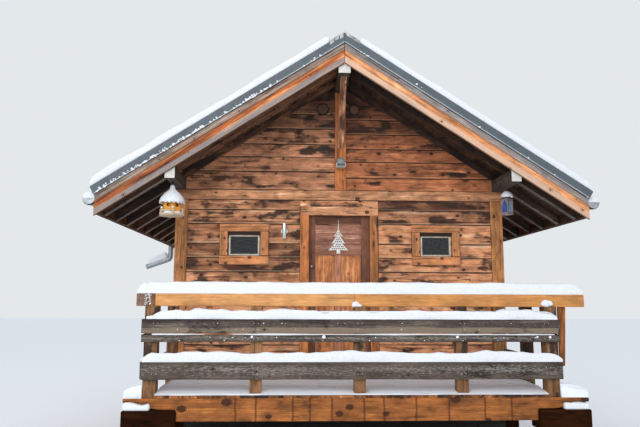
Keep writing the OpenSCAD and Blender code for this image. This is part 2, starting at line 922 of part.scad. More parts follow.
// Square glazed lantern with a domed hood, hung under the right wall plate
module lantern() {
    base_h = 30;
    post = 12;
    glass_in = 8;
    cap_plate = 12;
    band_h = 28;
    dome_h = 62;
    dome_r = 72;
    half = lantern_side / 2;
    top_z = base_h + lantern_h;
    hood_z = top_z + cap_plate + band_h - 2;
    color("#5b5a56") placed() translate([half_w - lantern_in, lantern_y, plate_z - lantern_drop])
        rotate([0, 0, lantern_turn]) {
            block([-half, half], [-half, half], [0, base_h]);
            block(
                [-half + glass_in, half - glass_in],
                [-half + glass_in, half - glass_in],
                [base_h - 1, top_z + 1]
            );
            for (x = [-half, half - post], y = [-half, half - post])
                translate([x, y, base_h - 1]) cube([post, post, lantern_h + 2]);
            block([-half, half], [-half, half], [top_z, top_z + cap_plate]);
            block(
                [-half + glass_in, half - glass_in],
                [-half + glass_in, half - glass_in],
                [top_z + cap_plate - 1, hood_z + 1]
            );
            rotate_extrude($fn = 24) polygon([
                [0, hood_z],
                [dome_r, hood_z],
                [dome_r * 0.9, hood_z + dome_h * 0.45],
                [dome_r * 0.62, hood_z + dome_h * 0.85],
                [8, hood_z + dome_h],
                [8, lantern_drop],
                [0, lantern_drop]
            ]);
        }
}

// Rounded belly of the deck beam's right end, from its tongue down to its seat
function beam_belly() = [
    for (a = [0:10:90])
        [scallop_x + scallop_w * cos(a), beam_top - tongue_h - (beam_seat_h - tongue_h) * sin(a)]
];

// Front beam of the deck, scalloped at its ends down to thin tongues
module deck_beam() {
    color(new_larch) placed() translate([beam_shift, 0, 0])
        along([front_y, front_y + beam_d]) both_sides() polygon(concat(
            [[0, beam_top], [beam_half, beam_top], [beam_half, beam_top - tongue_h]],
            beam_belly(),
            [[cap_in, cap_top], [cap_in, beam_top - beam_h], [0, beam_top - beam_h]]
        ));
}

// Cross-grained blocks that carry the deck beam on its posts
module beam_caps() {
    color(old_larch) placed() translate([beam_shift, 0, 0]) both_sides()
        block([cap_in, beam_half], [cap_y, cap_y + cap_d], [cap_top - cap_h, cap_top]);
}

module deck_posts() {
    post_x = beam_half - cap_w / 2;
    color(old_larch) placed() {
        translate([beam_shift, 0, 0]) both_sides() block(
            [post_x - deck_post_w / 2, post_x + deck_post_w / 2],
            [cap_y + 30, cap_y + 30 + deck_post_w],
            [-deck_z, cap_top - cap_h]
        );
        both_sides() block(
            [inner_post_x - inner_post_w / 2, inner_post_x + inner_post_w / 2],
            [bearer_y, bearer_y + inner_post_w],
            [-deck_z, beam_top - bearer_h]
        );
    }
}

// Bearers under the planks: one on the inner posts, one along the plinth
module deck_bearers() {
    color(old_larch) placed()
        for (y = [bearer_y, -bearer_d])
            block([-plank_half, plank_half], [y, y + bearer_d], [beam_top - bearer_h, beam_top]);
}

module deck_planks() {
    color(new_larch) placed() block([-plank_half, plank_half], [front_y, 0], [beam_top, 0]);
}

// The railing's three middle posts, from z[0] to z[1]
module middle_posts(z) {
    for (x = rail_post_x)
        block([x - rail_post_w / 2, x + rail_post_w / 2], [post_y, post_y + rail_post_w], z);
}

module rail_posts() {
    color(old_larch) placed() {
        both_sides()
            block([plank_half, deck_half], [post_y, post_y + rail_corner_w], [beam_top, rail_post_h]);
        middle_posts([0, rail_post_h]);
        // The left corner post runs up between the ends of the handrails
        block(
            [left_handrail_x1, handrail_x0],
            [handrail_y, handrail_y + handrail_w],
            [rail_post_h - 1, rail_post_h + handrail_h]
        );
        block(
            [-deck_half, -deck_half + rail_post_w],
            [left_post_y - rail_post_w / 2, left_post_y + rail_post_w / 2],
            [beam_top - bearer_h, rail_post_h]
        );
        for (y = [right_post_y, -rail_post_w / 2])
            block(
                [deck_half - rail_post_w, deck_half],
                [y - rail_post_w / 2, y + rail_post_w / 2],
                [beam_top - bearer_h, rail_post_h]
            );
    }
}

module handrails() {
    z = [rail_post_h, rail_post_h + handrail_h];
    color(new_larch) placed() {
        block([handrail_x0, handrail_x1], [handrail_y, handrail_y + handrail_w], z);
        block([left_handrail_x0, left_handrail_x1], [handrail_y, left_handrail_y1], z);
        block([deck_half - handrail_w, deck_half], [right_handrail_y0, 0], z);
    }
}

module front_rails() {
    color(grey_larch) placed() {
        block(bottom_rail_x, [front_y, post_y], bottom_rail);
        for (z = middle_rails) block([middle_rail_x0, deck_half], [front_y, post_y], z);
    }
}

module side_rails() {
    color(grey_larch) placed()
        for (z = concat([bottom_rail], middle_rails)) {
            block([-deck_half - rail_t, -deck_half], [post_y, left_handrail_y1], z);
            block([deck_half, deck_half + rail_t], [post_y, 0], z);
        }
}

// Two slats that brace the handrail's free end
module rail_slats() {
    low = bottom_rail[1] - slat_foot;
    color(new_larch) placed()
        for (k = [0, 1]) translate([0, post_y + slat_foot + k * slat_t, 0])
            rotate([90, 0, 0]) translate([0, 0, -slat_t]) linear_extrude(slat_t) polygon([
                [deck_half + rail_t + k * slat_step, low],
                [deck_half + rail_t + slat_w + k * slat_step, low],
                [deck_half + rail_t + slat_w + k * slat_lean, rail_post_h],
                [deck_half + rail_t + k * slat_lean, rail_post_h]
            ]);
}

// Snow with a rounded top, along X from x[0] to x[1] between y[0] and y[1]
module snow_bar(x, y, z, h) {
    d = y[1] - y[0];
    translate([x[0], y[0], z]) rotate([90, 0, 90]) linear_extrude(x[1] - x[0]) polygon([
        [0, 0],
        [d, 0],
        [d, h * 0.7],
        [d * 0.8, h * 0.95],
        [d * 0.5, h],
        [d * 0.2, h * 0.95],
        [0, h * 0.7]
    ]);
}

module rail_snow() {
    top = rail_post_h + handrail_h;
    color("white") placed() {
        snow_bar([left_handrail_x1, handrail_x1], [handrail_y, handrail_y + handrail_w], top, rail_snow_h);
        rotate([0, 0, 90]) {
            snow_bar(
                [handrail_y, left_handrail_y1],
                [-left_handrail_x1, -left_handrail_x0],
                top,
                rail_snow_h
            );
            snow_bar([right_handrail_y0, 0], [-deck_half, -deck_half + handrail_w], top, rail_snow_h);
        }
        snow_bar([middle_rail_x0, deck_half], [front_y, post_y], middle_rails[1][1], rail_snow_h * 0.72);
        snow_bar(bottom_rail_x, [front_y, post_y], bottom_rail[1], rail_snow_h * 0.8);
    }
}

module deck_snow() {
    color("white") placed() {
        difference() {
            block([-plank_half, plank_half], [front_y + snow_inset, 0], [0, deck_snow_h]);
            middle_posts([-1, rail_post_h]);
            block(
                [-plank_half - 1, -deck_half + rail_post_w],
                [left_post_y - rail_post_w / 2, left_post_y + rail_post_w / 2],
                [-1, rail_post_h]
            );
        }
        for (x = [
            [-beam_half + beam_shift + snow_inset, -deck_half],
            [deck_half, beam_half + beam_shift - snow_inset]
        ])
            snow_bar(x, [front_y + snow_inset, front_y + beam_d - snow_inset], beam_top, tongue_snow_h);
    }
}

plinth();
house_floor();
front_wall_left();
front_wall_right();
front_wall_over_door();
side_walls();
back_wall();
front_gable();
back_gable();
corner_posts();
tie_beams();
king_posts();
ridge_braces();
ridge_purlin();
wall_plates();
purlin_caps();
rafters();
rafter_blocks();
eave_boards();
roof_boards();
barge_boards();
verge_boards();
roof_battens();
roof_sheets();
ridge_cap();
gutters();
gutter_spouts();
roof_snow();
gutter_snow();
door_frame();
door_hinges();
window_frames();
window_sashes();
window_glass();
wall_lamp();
gable_light();
birdhouse();
lantern();
deck_beam();
beam_caps();
deck_posts();
deck_bearers();
deck_planks();
rail_posts();
handrails();
front_rails();
side_rails();
rail_slats();
rail_snow();
deck_snow();
door_leaf();
door_hardware();
door_ornament();
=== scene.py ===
import math
import random

import bmesh
import bpy
from mathutils import Matrix, Vector, noise


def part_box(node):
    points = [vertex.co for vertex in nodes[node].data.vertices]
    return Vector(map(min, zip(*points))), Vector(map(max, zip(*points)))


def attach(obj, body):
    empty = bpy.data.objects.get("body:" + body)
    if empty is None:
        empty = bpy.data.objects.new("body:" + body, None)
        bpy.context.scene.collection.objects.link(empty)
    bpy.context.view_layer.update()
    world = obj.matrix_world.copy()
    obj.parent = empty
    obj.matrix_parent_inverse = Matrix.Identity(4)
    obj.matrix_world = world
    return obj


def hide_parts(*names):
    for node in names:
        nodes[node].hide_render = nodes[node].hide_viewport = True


# Without a seed of its own, noise_vector would take the clock's, and differ each run.
noise.seed_set(1)

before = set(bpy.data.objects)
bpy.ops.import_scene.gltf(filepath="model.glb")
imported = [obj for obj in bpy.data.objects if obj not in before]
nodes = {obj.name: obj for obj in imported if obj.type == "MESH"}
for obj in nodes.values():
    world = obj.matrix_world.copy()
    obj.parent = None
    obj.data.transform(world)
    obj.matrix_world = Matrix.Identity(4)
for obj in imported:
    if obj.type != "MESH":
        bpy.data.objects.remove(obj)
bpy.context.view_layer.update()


# ---- Plinth -------------------------------------------------------------------------
# Rubble masonry walls under the house: roughly squared dark grey limestone laid in courses,
# with lime mortar raked back between the stones.

def to_linear(code):
    """An sRGB hex colour as linear RGBA."""
    parts = [int(code[i:i + 2], 16) / 255 for i in (1, 3, 5)]
    return [c / 12.92 if c <= 0.04045 else ((c + 0.055) / 1.055) ** 2.4 for c in parts] + [1.0]


def add(tree, kind, sockets, out=0, stops=(), **settings):
    """Adds a shader node with its settings, socket values, links and ramp; gives one output."""
    node = tree.nodes.new("ShaderNode" + kind)
    for name, value in settings.items():
        setattr(node, name, value)
    for key, value in sockets.items():
        if isinstance(value, bpy.types.NodeSocket):
            tree.links.new(value, node.inputs[key])
        else:
            node.inputs[key].default_value = to_linear(value) if isinstance(value, str) else value
    if stops:
        elements = node.color_ramp.elements
        while len(elements) < len(stops):
            elements.new(0.5)
        for element, (position, colour) in zip(elements, stops):
            element.position, element.color = position, to_linear(colour)
    return node.outputs[out]


class Surface:
    """A material with its shader's plain values, and short ways to the nodes it needs."""

    def __init__(self, name, **values):
        self.material = bpy.data.materials.new(name)
        self.material.use_nodes = True
        self.tree = self.material.node_tree
        self.shader = self.tree.nodes["Principled BSDF"]
        for key, value in values.items():
            socket = self.shader.inputs[key.replace("_", " ").title().replace("Ior", "IOR")]
            socket.default_value = to_linear(value) if isinstance(value, str) else value

    def add(self, kind, sockets, out=0, **settings):
        return add(self.tree, kind, sockets, out, **settings)

    def place(self, out="Object"):
        return self.add("TexCoord", {}, out)

    def read(self, attribute, out="Fac"):
        return self.add("Attribute", {}, out, attribute_name=attribute)

    def cloud(self, scale, detail=2.0, rough=0.5, distortion=0.0, place=None):
        """Noise with a scale per metre, or with one along each axis."""
        place = place or self.place()
        if isinstance(scale, tuple):
            place, scale = self.add("Mapping", {"Vector": place, "Scale": scale}), 1.0
        return self.add("TexNoise", {"Vector": place, "Scale": scale, "Detail": detail,
                                     "Roughness": rough, "Distortion": distortion})

    def span(self, value, low=0.0, high=1.0, end=1.0, start=0.0):
        """The value's range from low to high, as one from start to end."""
        return self.add("MapRange", {"Value": value, "From Min": low, "From Max": high,
                                     "To Min": start, "To Max": end})

    def math(self, operation, *values):
        return self.add("Math", dict(enumerate(values)), operation=operation)

    def plus(self, a, b, weight):
        return self.math("MULTIPLY_ADD", b, weight, a)

    def off(self, value, middle):
        return self.math("ABSOLUTE", self.math("SUBTRACT", value, middle))

    def ramp(self, value, *stops):
        return self.add("ValToRGB", {"Fac": value}, stops=stops)

    def mix(self, share, a, b, blend="MIX"):
        return self.add("MixRGB", {"Fac": share, "Color1": a, "Color2": b}, blend_type=blend)

    def scaled(self, colour, amount):
        return self.add("VectorMath", {0: colour, "Scale": amount}, operation="SCALE")

    def coat(self, colour=None, dull=None, height=None, strength=0.5, depth=0.002):
        """Links the colour, the roughness and a relief of a depth in metres to the shader."""
        links = {"Base Color": colour, "Roughness": dull}
        if height is not None:
            bump = {"Strength": strength, "Distance": depth, "Height": height}
            links["Normal"] = self.add("Bump", bump)
        for key, value in links.items():
            if value is not None:
                self.tree.links.new(value, self.shader.inputs[key])
        return self.material


def repaint(piece, material, chosen):
    """Gives the chosen faces another material."""
    piece.data.materials.append(material)
    for face in piece.data.polygons:
        if chosen(face):
            face.material_index = len(piece.data.materials) - 1


def limestone(name, colours):
    # Dark stone, matte and a little different from stone to stone, with a pitted relief.
    s = Surface(name, roughness=0.9)
    stone = s.ramp(s.read("tone"), *zip((0.0, 0.35, 0.7, 1.0), colours))
    pits = s.cloud(38.0, 6.0, 0.7)
    speckled = s.mix(0.4, stone, pits.node.outputs["Color"], "OVERLAY")
    return s.coat(speckled, height=pits, strength=0.6, depth=0.008)


def lime_mortar():
    # Sandy mortar, paler than the stone and without any gloss.
    s = Surface("lime_mortar", roughness=0.95)
    sand = s.cloud(60.0, 5.0)
    return s.coat(s.ramp(sand, (0.3, "#5a564f"), (0.7, "#6e6960")), height=sand, depth=0.006)


def block(bm, low, high):
    """A box between two corners, as a separate part of the shape."""
    low, high = Vector(low), Vector(high)
    place = Matrix.Translation((low + high) / 2) @ Matrix.Diagonal((*(high - low), 1.0))
    return bmesh.ops.create_cube(bm, size=1.0, matrix=place)["verts"]


def outwards(bm):
    bmesh.ops.recalc_face_normals(bm, faces=bm.faces)


def ease(bm, edges, width, segments=1):
    """Rounds the given edges."""
    bmesh.ops.bevel(
        bm, geom=edges, offset=width, offset_type="OFFSET", affect="EDGES",
        segments=segments, profile=0.5, material=-1, clamp_overlap=True,
    )


def make_piece(name, bm, materials, replaced=None, body="house", smooth=False):
    """Turns a bmesh into a finished object that rides on its body."""
    mesh = bpy.data.meshes.new(name)
    bm.to_mesh(mesh)
    bm.free()
    for material in materials if isinstance(materials, list) else [materials]:
        mesh.materials.append(material)
    if smooth:
        mesh.polygons.foreach_set("use_smooth", [True] * len(mesh.polygons))
    piece = bpy.data.objects.new(name, mesh)
    bpy.context.scene.collection.objects.link(piece)
    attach(piece, body)
    if replaced:
        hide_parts(replaced)
    return piece


def build_plinth():
    low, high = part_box("plinth")
    rake, depth, courses, gap, shade_skin = 0.014, 0.12, 6, 0.006, 0.03
    course = (high.z - low.z) / courses
    rng = random.Random(5)
    core = bmesh.new()
    core.from_mesh(nodes["plinth"].data)
    for v in core.verts:
        for k in (0, 1):
            if abs(v.co[k] - low[k]) < 0.01:
                v.co[k] += rake
            if abs(v.co[k] - high[k]) < 0.01:
                v.co[k] -= rake
    mortar = make_piece("plinth_mortar", core, lime_mortar(), "plinth")
    bm = bmesh.new()
    tone = bm.verts.layers.float.new("tone")
    for row in range(courses):
        z = (low.z + course * row + gap, low.z + course * (row + 1) - gap)
        for face in range(4):
            run, across = (0, 1) if face % 2 == 0 else (1, 0)
            # The corner stones belong to the front in one course, to the side in the next.
            ends = 0.0 if (row + face) % 2 == 0 else depth
            start, stop = low[run] + ends, high[run] - ends
            outer = low[across] if face < 2 else high[across]
            while start < stop - 0.02:
                length = rng.uniform(0.18, 0.42)
                if stop - start - length < 0.16:
                    length = stop - start
                a, b = Vector((0, 0, z[0])), Vector((0, 0, z[1]))
                a[run], b[run] = start + 0.005, start + length - 0.007
                sunk = rng.uniform(0.0, 0.008)
                a[across] = low[across] + sunk if face < 2 else outer - depth
                b[across] = low[across] + depth if face < 2 else outer - sunk
                own = rng.random()
                for v in block(bm, a, b):
                    v.co += Vector([rng.uniform(-0.006, 0.006) for _ in range(3)])
                    v.co = Vector([min(max(v.co[k], low[k]), high[k]) for k in range(3)])
                    v[tone] = own
                start += length
    ease(bm, bm.edges[:], 0.014, 2)
    stones = make_piece(
        "plinth_stones", bm, limestone("grey_limestone", ("#4c4a48", "#5f5c58", "#6d6963", "#555350")),
        smooth=True,
    )
    # The plinth's front faces under the deck are painted almost black: painted shade for the dark space
    # under the deck.
    shade_stone = limestone("painted_shade_limestone", ("#161514", "#1c1b19", "#22201e", "#181716"))
    for piece in (mortar, stones):
        repaint(piece, shade_stone, lambda face: face.center.y < low.y + shade_skin)


build_plinth()


# ---- House walls --------------------------------------------------------------------
# Squared larch timbers laid one on another between corner posts, tie beams above them.
# They are old and sun-burnt: orange brown, scorched black in patches, with dark knots.

wall_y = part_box("corner_posts")[0].y
deck_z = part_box("deck_planks")[1].z


def at(x, y, z):
    """A point from the house's middle, the front wall's face and the deck's top."""
    return Vector((x, wall_y + y, deck_z + z))


def island(start):
    """The vertices that hang together with start, in a steady order."""
    found = {start: None}
    queue = [start]
    while queue:
        for edge in queue.pop().link_edges:
            for v in edge.verts:
                if v not in found:
                    found[v] = None
                    queue.append(v)
    return list(found)


def islands(bm):
    seen = set()
    parts = []
    for v in list(bm.verts):
        if v not in seen:
            part = island(v)
            seen.update(part)
            parts.append(part)
    return parts


def copy_of(name, keep=None):
    """A CAD node's shape with whole faces, or those of its parts whose middle is kept."""
    bm = bmesh.new()
    bm.from_mesh(nodes[name].data)
    bmesh.ops.remove_doubles(bm, verts=bm.verts, dist=1e-5)
    bmesh.ops.dissolve_limit(bm, angle_limit=0.02, verts=bm.verts, edges=bm.edges)
    if keep:
        for part in islands(bm):
            if not keep(sum((v.co for v in part), Vector()) / len(part)):
                bmesh.ops.delete(bm, geom=part, context="VERTS")
    return bm


def everything(bm):
    return bm.verts[:] + bm.edges[:] + bm.faces[:]


def edges_in(geometry):
    return [g for g in geometry if isinstance(g, bmesh.types.BMEdge)]


def saw(bm, x):
    """Cuts a shape through at a plane across x, so that each side is a timber of its own."""
    cut = bmesh.ops.bisect_plane(
        bm, geom=everything(bm), dist=1e-5, plane_co=(x, 0, 0), plane_no=(1, 0, 0)
    )["geom_cut"]
    bmesh.ops.split_edges(bm, edges=edges_in(cut))
    bmesh.ops.holes_fill(bm, edges=[e for e in bm.edges if e.is_boundary], sides=0)


def sharp_edges(bm, over=0.5):
    """Every edge that turns by more than over, in radians."""
    return [e for e in bm.edges if len(e.link_faces) == 2 and e.calc_face_angle(0) > over]


def slice_part(bm, part, along, step):
    """Cuts a part across every step metres, so that it can bend a little."""
    places = [v.co.dot(along) for v in part]
    low, high = min(places), max(places)
    count = max(1, round((high - low) / step))
    middle = part[0].co - along * part[0].co.dot(along)
    seed = part[0]
    for k in range(1, count):
        verts = island(seed)
        edges = {e: None for v in verts for e in v.link_edges}
        faces = {f: None for v in verts for f in v.link_faces}
        bmesh.ops.bisect_plane(
            bm, geom=verts + list(edges) + list(faces), dist=1e-5,
            plane_co=middle + along * (low + (high - low) * k / count), plane_no=along,
        )
    return island(seed)


def season(bm, seed, wave=0.002, step=0.16, along=None, tones=None):
    """Gives each timber its grain, its tone, its height from edge to edge and uneven faces."""
    grain = bm.verts.layers.float_vector.new("grain")
    tone = bm.verts.layers.float.new("tone")
    across = bm.verts.layers.float.new("across")
    rng = random.Random(seed)
    for first in [part[0] for part in islands(bm)]:
        part = island(first)
        if along is None:
            edges = {e: None for v in part for e in v.link_edges}
            longest = max(edges, key=lambda e: round(e.calc_length(), 4))
            axis = (longest.verts[1].co - longest.verts[0].co).normalized()
        else:
            axis = along.normalized()
        if max(axis, key=abs) < 0:
            axis = -axis
        part = slice_part(bm, part, axis, step)
        up = Vector((0, 1, 0)) if abs(axis.z) > 0.8 else Vector((0, 0, 1))
        side = up.cross(axis).normalized()
        up = axis.cross(side)
        middle = sum((v.co for v in part), Vector()) / len(part)
        # An upright timber is seen from edge to edge along x, a lying one from its foot up.
        heights = [v.co.dot(side if abs(axis.z) > 0.8 else up) for v in part]
        foot, tall = min(heights), max(heights) - min(heights) + 1e-6
        shift = Vector([rng.uniform(-40, 40) for _ in range(3)])
        own = rng.random()
        if tones:
            own = 0.8 * tones(middle) + 0.2 * own
        for v, height in zip(part, heights):
            d = v.co - middle
            v[grain] = Vector((d.dot(axis), d.dot(side), d.dot(up))) + shift
            v[tone] = own
            v[across] = (height - foot) / tall
        for v in part:
            push = noise.noise_vector(v.co * 2.7 + shift) * wave
            v.co += push - axis * push.dot(axis)


def larch(
    name, light, middle, dark, scorch="#2c2220", scorched=0.45, knots=0.05, streak=1.0,
    spread=0.25, foot=None, foot_share=0.5, foot_edge=0.1, drips=(), frosted=0.0, cracked=0.55,
    joint_dirt_shade_highlight=0.0, fine=0.5, mottled=0.5, shade_by_height=None, gloss=0.3,
):
    """Larch with its grain along each timber, knots, scorched patches and own tones."""
    s = Surface(name, roughness=0.78, specular_ior_level=gloss)
    grain, tone, across = s.read("grain", "Vector"), s.read("tone"), s.read("across")

    def cloud(scale, detail=4.0, rough=0.6, distortion=0.0):
        return s.cloud(scale, detail, rough, distortion, grain)

    # Growth rings cut lengthwise, in bands about 40 mm wide that run for about 1 m,
    # over fibres about 5 mm wide. Drying cracks run along them, dark and hair thin, and
    # are drawn 8 mm wide so that they show.
    bands = cloud((1.0, 24.0, 24.0), 6.0, 0.75, 0.35)
    fibre = cloud((6.0, 150.0, 150.0), 3.0, 0.7)
    lengthwise = s.span(bands, 0.5 - 0.2 / streak, 0.5 + 0.2 / streak)
    wood = s.ramp(lengthwise, (0.0, dark), (0.35, middle), (0.65, middle), (1.0, light))
    # Soft darker and paler patches about 0.1 m wide, where water and hands have been.
    patches = cloud((4.0, 9.0, 9.0), 6.0, 0.62, 0.4)
    wood = s.scaled(wood, s.span(patches, 0.3, 0.7, 1.0 + 0.75 * mottled, 1.0 - 0.75 * mottled))
    crack = s.span(cloud((1.3, 48.0, 48.0), 3.0, 0.5, 0.15), 0.37, 0.33, cracked)
    fibred = s.mix(fine, s.mix(crack, wood, scorch), s.span(fibre, 0.15, 0.85), "OVERLAY")
    # Each timber is a little lighter or darker than the next.
    colour = s.scaled(fibred, s.span(tone, end=1.0 + spread, start=1.0 - spread))
    if foot:
        # The lower part of the face is bleached by the weather, with a ragged border.
        ragged = s.plus(across, cloud((1.6, 14.0, 14.0), 5.0), 0.35)
        border = foot_share + 0.175
        worn = s.span(ragged, border + foot_edge, border - foot_edge, 0.92)
        colour = s.mix(worn, colour, s.mix(0.3, foot, fibred))
    if scorched:
        # Clouds 0.1 to 0.3 m wide where the sun has burnt the face, frayed along the grain,
        # and longer brown streaks, both more on dark timbers.
        burnt = s.plus(s.plus(cloud((2.6, 6.0, 6.0), 6.0), tone, -0.2), bands, -0.3)
        burnt = s.span(burnt, 0.36 - 0.25 * scorched, 0.45 - 0.25 * scorched, 0.92)
        colour = s.mix(burnt, colour, scorch)
        smoke = s.plus(cloud((1.6, 14.0, 14.0), 7.0, 0.62), tone, -0.2)
        smoke = s.span(smoke, 0.50 - 0.2 * scorched, 0.64 - 0.2 * scorched, 0.55)
        colour = s.mix(smoke, colour, dark)
    if shade_by_height:
        # Painted shade: the gable darkens upwards, towards the ridge under the roof.
        height = s.add("SeparateXYZ", {"Vector": s.place()}, "Z")
        black = s.plus(height, cloud((2.0, 5.0, 5.0), 6.0), 1.0)
        colour = s.mix(s.span(black, shade_by_height[0] + 0.5, shade_by_height[1] + 0.5, shade_by_height[2]), colour, scorch)
    if joint_dirt_shade_highlight:
        # Dark joints above and below each timber, partly dirt and partly painted shade, and a
        # painted highlight along each timber's lower edge.
        edge = s.plus(s.off(across, 0.5), cloud((3.0, 30.0, 30.0)), 0.08)
        colour = s.mix(s.span(across, 0.14, 0.04, 0.35 * joint_dirt_shade_highlight), colour, light)
        colour = s.mix(s.span(edge, 0.478, 0.525, joint_dirt_shade_highlight), colour, scorch)
    if drips:
        # Water has run down the face in dark lines, from the joints of what lies above it.
        line = s.add("SeparateXYZ", {"Vector": s.place()}, "X")
        line = s.plus(line, cloud((12.0, 12.0, 12.0)), 0.025)
        for x in drips:
            colour = s.mix(s.span(s.off(line, x + 0.0125), 0.015, 0.003, 0.7), colour, scorch)
    if frosted:
        # Frost clings to the fibres of the face's middle in specks about 10 mm long.
        frost = s.plus(cloud((26.0, 130.0, 130.0), 3.0, 0.7), cloud((1.5, 12.0, 12.0)), 0.4)
        frost = s.plus(frost, s.off(across, 0.55), -0.35)
        colour = s.mix(s.span(frost, 0.62, 0.82, frosted), colour, "#aaa49b")
    if knots:
        # Knots 15 to 60 mm across, some eight to the square metre, with rings round them.
        width = s.add("VectorMath", {0: grain, 1: (0.0, 1.0, 1.0)}, "Value", operation="DOT_PRODUCT")
        flat = s.add("CombineXYZ", {"X": s.add("SeparateXYZ", {"Vector": grain}, "X"), "Y": width})
        spot = s.add("Mapping", {"Vector": flat, "Scale": (2.6, 3.6, 1.0)})
        cell = s.add("TexVoronoi", {"Vector": spot, "Scale": 1.0}, "Distance", voronoi_dimensions="2D")
        reach = s.math("DIVIDE", cell, s.span(cell.node.outputs["Color"], end=1.5, start=0.4))
        reach = s.plus(reach, cloud((30.0, 60.0, 60.0)), 0.5 * knots)
        reach = s.math("SUBTRACT", reach, 0.25 * knots)
        rings = s.span(s.math("SINE", s.math("MULTIPLY", reach, 130.0)), -0.5, 1.0)
        near = s.math("MULTIPLY", s.span(reach, knots * 3.5, knots, 0.85), rings)
        colour = s.mix(near, colour, dark)
        colour = s.mix(s.span(reach, knots * 1.25, knots * 0.75, 0.95), colour, scorch)
        colour = s.mix(s.span(reach, knots * 0.8, knots * 0.2, 0.4), colour, dark)
    return s.coat(colour, height=s.plus(bands, fibre, 1.0), strength=0.7, depth=0.004)


def dress(
    name, material, seed, width=0.004, wave=0.002, step=0.16, along=None, cuts=(), keep=None,
    suffix="_timber", tones=None,
):
    """A CAD node's timbers with eased edges, grain and slightly uneven faces."""
    bm = copy_of(name, keep)
    for x in cuts:
        saw(bm, x)
    ease(bm, sharp_edges(bm), width)
    season(bm, seed, wave, step, along, tones)
    return make_piece(name + suffix, bm, material, name)


burnt_larch = larch(
    "sun_burnt_larch", "#ffd8ae", "#dc986c", "#764430", scorch="#241b1a", scorched=0.36, spread=0.6,
    joint_dirt_shade_highlight=0.9, mottled=0.75, streak=1.25,
)
gable_larch = larch(
    "shaded_gable_larch", "#f4b88e", "#b47a58", "#603c2c", scorch="#221b1a", scorched=0.4,
    spread=0.55, joint_dirt_shade_highlight=0.9, mottled=0.8, shade_by_height=(4.0, 4.9, 0.75),
)
red_gable_larch = larch(
    "reddish_gable_larch", "#f0a474", "#a86642", "#5a3222", scorch="#221918", scorched=0.4,
    spread=0.55, joint_dirt_shade_highlight=0.9, mottled=0.75, shade_by_height=(4.0, 4.8, 0.8),
)


def course_tones(window, courses):
    """Tones by the height of a course's foot, left and right of a window's middle."""
    def tone_of(m):
        for foot, left, right in courses:
            if m.z - deck_z > foot:
                return left if m.x < window else right
        return 0.5
    return tone_of


# Each gable timber's tone darkens the higher it lies: painted shade under the roof.
def gable_tone(m):
    return max(0.0, min(1.0, 0.62 - 0.33 * (m.z - deck_z - 2.45)))


window_x = 1.269
# What stands in front of this is a disc on the gable, not a wall timber.
discs_y = wall_y + 0.02
left_tones = course_tones(-window_x, (
    (2.10, 0.33, 0.36), (1.92, 0.28, 0.3), (1.66, 0.33, 0.95), (1.48, 0.15, 1.25), (1.30, 0.1, 0.22),
    (1.0, 0.5, 0.95),
))
right_tones = course_tones(window_x, (
    (2.10, 0.0, 0.0), (1.92, 0.2, 0.15), (1.66, 0.6, 0.3), (1.48, 0.65, 0.3),
))
along_x, along_y, along_z = Vector((1, 0, 0)), Vector((0, 1, 0)), Vector((0, 0, 1))
dress("front_wall_left", burnt_larch, 11, wave=0.005, tones=left_tones)
dress("front_wall_right", burnt_larch, 12, wave=0.005, tones=right_tones)
dress("front_wall_over_door", burnt_larch, 13, wave=0.005, tones=lambda m: 0.35)
dress("side_walls", burnt_larch, 14, wave=0.005)
dress("back_wall", burnt_larch, 15, wave=0.005)
gable = dress(
    "front_gable", gable_larch, 16, wave=0.005, cuts=(0.0,), tones=gable_tone,
    keep=lambda m: m.y > discs_y,
)
repaint(gable, red_gable_larch, lambda f: f.center.x > 0)
dress("back_gable", gable_larch, 17, wave=0.005, tones=gable_tone)

post_larch = larch(
    "post_larch", "#f2ac78", "#c08250", "#80502f", scorched=0, spread=0.1, streak=1.3, mottled=0.7,
)
dress("corner_posts", post_larch, 18, width=0.008)
tie_larch = larch(
    "tie_beam_larch", "#ffc9a2", "#d29468", "#8f5a40", scorched=0, knots=0.06, streak=1.2,
    joint_dirt_shade_highlight=0.6, mottled=0.9,
)
dress("tie_beams", tie_larch, 19, width=0.008)
king_larch = larch(
    "king_post_larch", "#e2985e", "#b46c3c", "#744024", scorched=0.24, spread=0.1, streak=1.3,
)
dress("king_posts", king_larch, 20, width=0.006)
dress("house_floor", post_larch, 21, along=along_y, step=0.6)


def disc_wood(name, middle, radius, light, dark):
    # Slices of a trunk: yearly rings about 7 mm apart round the heart, and a blackened rim.
    s = Surface(name, roughness=0.8)
    centred = s.add("Mapping", {"Vector": s.place(), "Location": [-c for c in middle]})
    flat = s.add("VectorMath", {0: centred, 1: (1, 0, 1)}, operation="MULTIPLY")
    reach = s.add("VectorMath", {0: flat}, "Value", operation="LENGTH")
    reach = s.plus(reach, s.cloud(14.0, 3.0), 0.02)
    rings = s.math("SINE", s.math("MULTIPLY", reach, 900.0))
    wood = s.ramp(s.span(rings, -1.0), (0.0, dark), (1.0, light))
    return s.coat(s.mix(s.span(reach, radius - 0.008, radius), wood, "#1e1613"), height=rings)


def inset(bm, faces, width, depth):
    bmesh.ops.inset_individual(bm, faces=faces, thickness=width, depth=depth)


def build_gable_discs():
    # Two turned slices of trunk nailed to the gable, each with a raised rim of bark.
    for name, light, dark in (("left", "#74503a", "#402c22"), ("right", "#7e5638", "#4a3222")):
        bm = copy_of("front_gable", lambda m: m.y < discs_y and (m.x < 0) == (name == "left"))
        middle = sum((v.co for v in bm.verts), Vector()) / len(bm.verts)
        radius = max(v.co.x for v in bm.verts) - middle.x
        front = [f for f in bm.faces if f.normal.y < -0.9]
        inset(bm, front, 0.011, 0.0)
        inset(bm, front, 0.002, -0.004)
        wood = disc_wood(name + "_disc_wood", middle, radius, light, dark)
        make_piece("gable_disc_" + name, bm, wood, "front_gable")


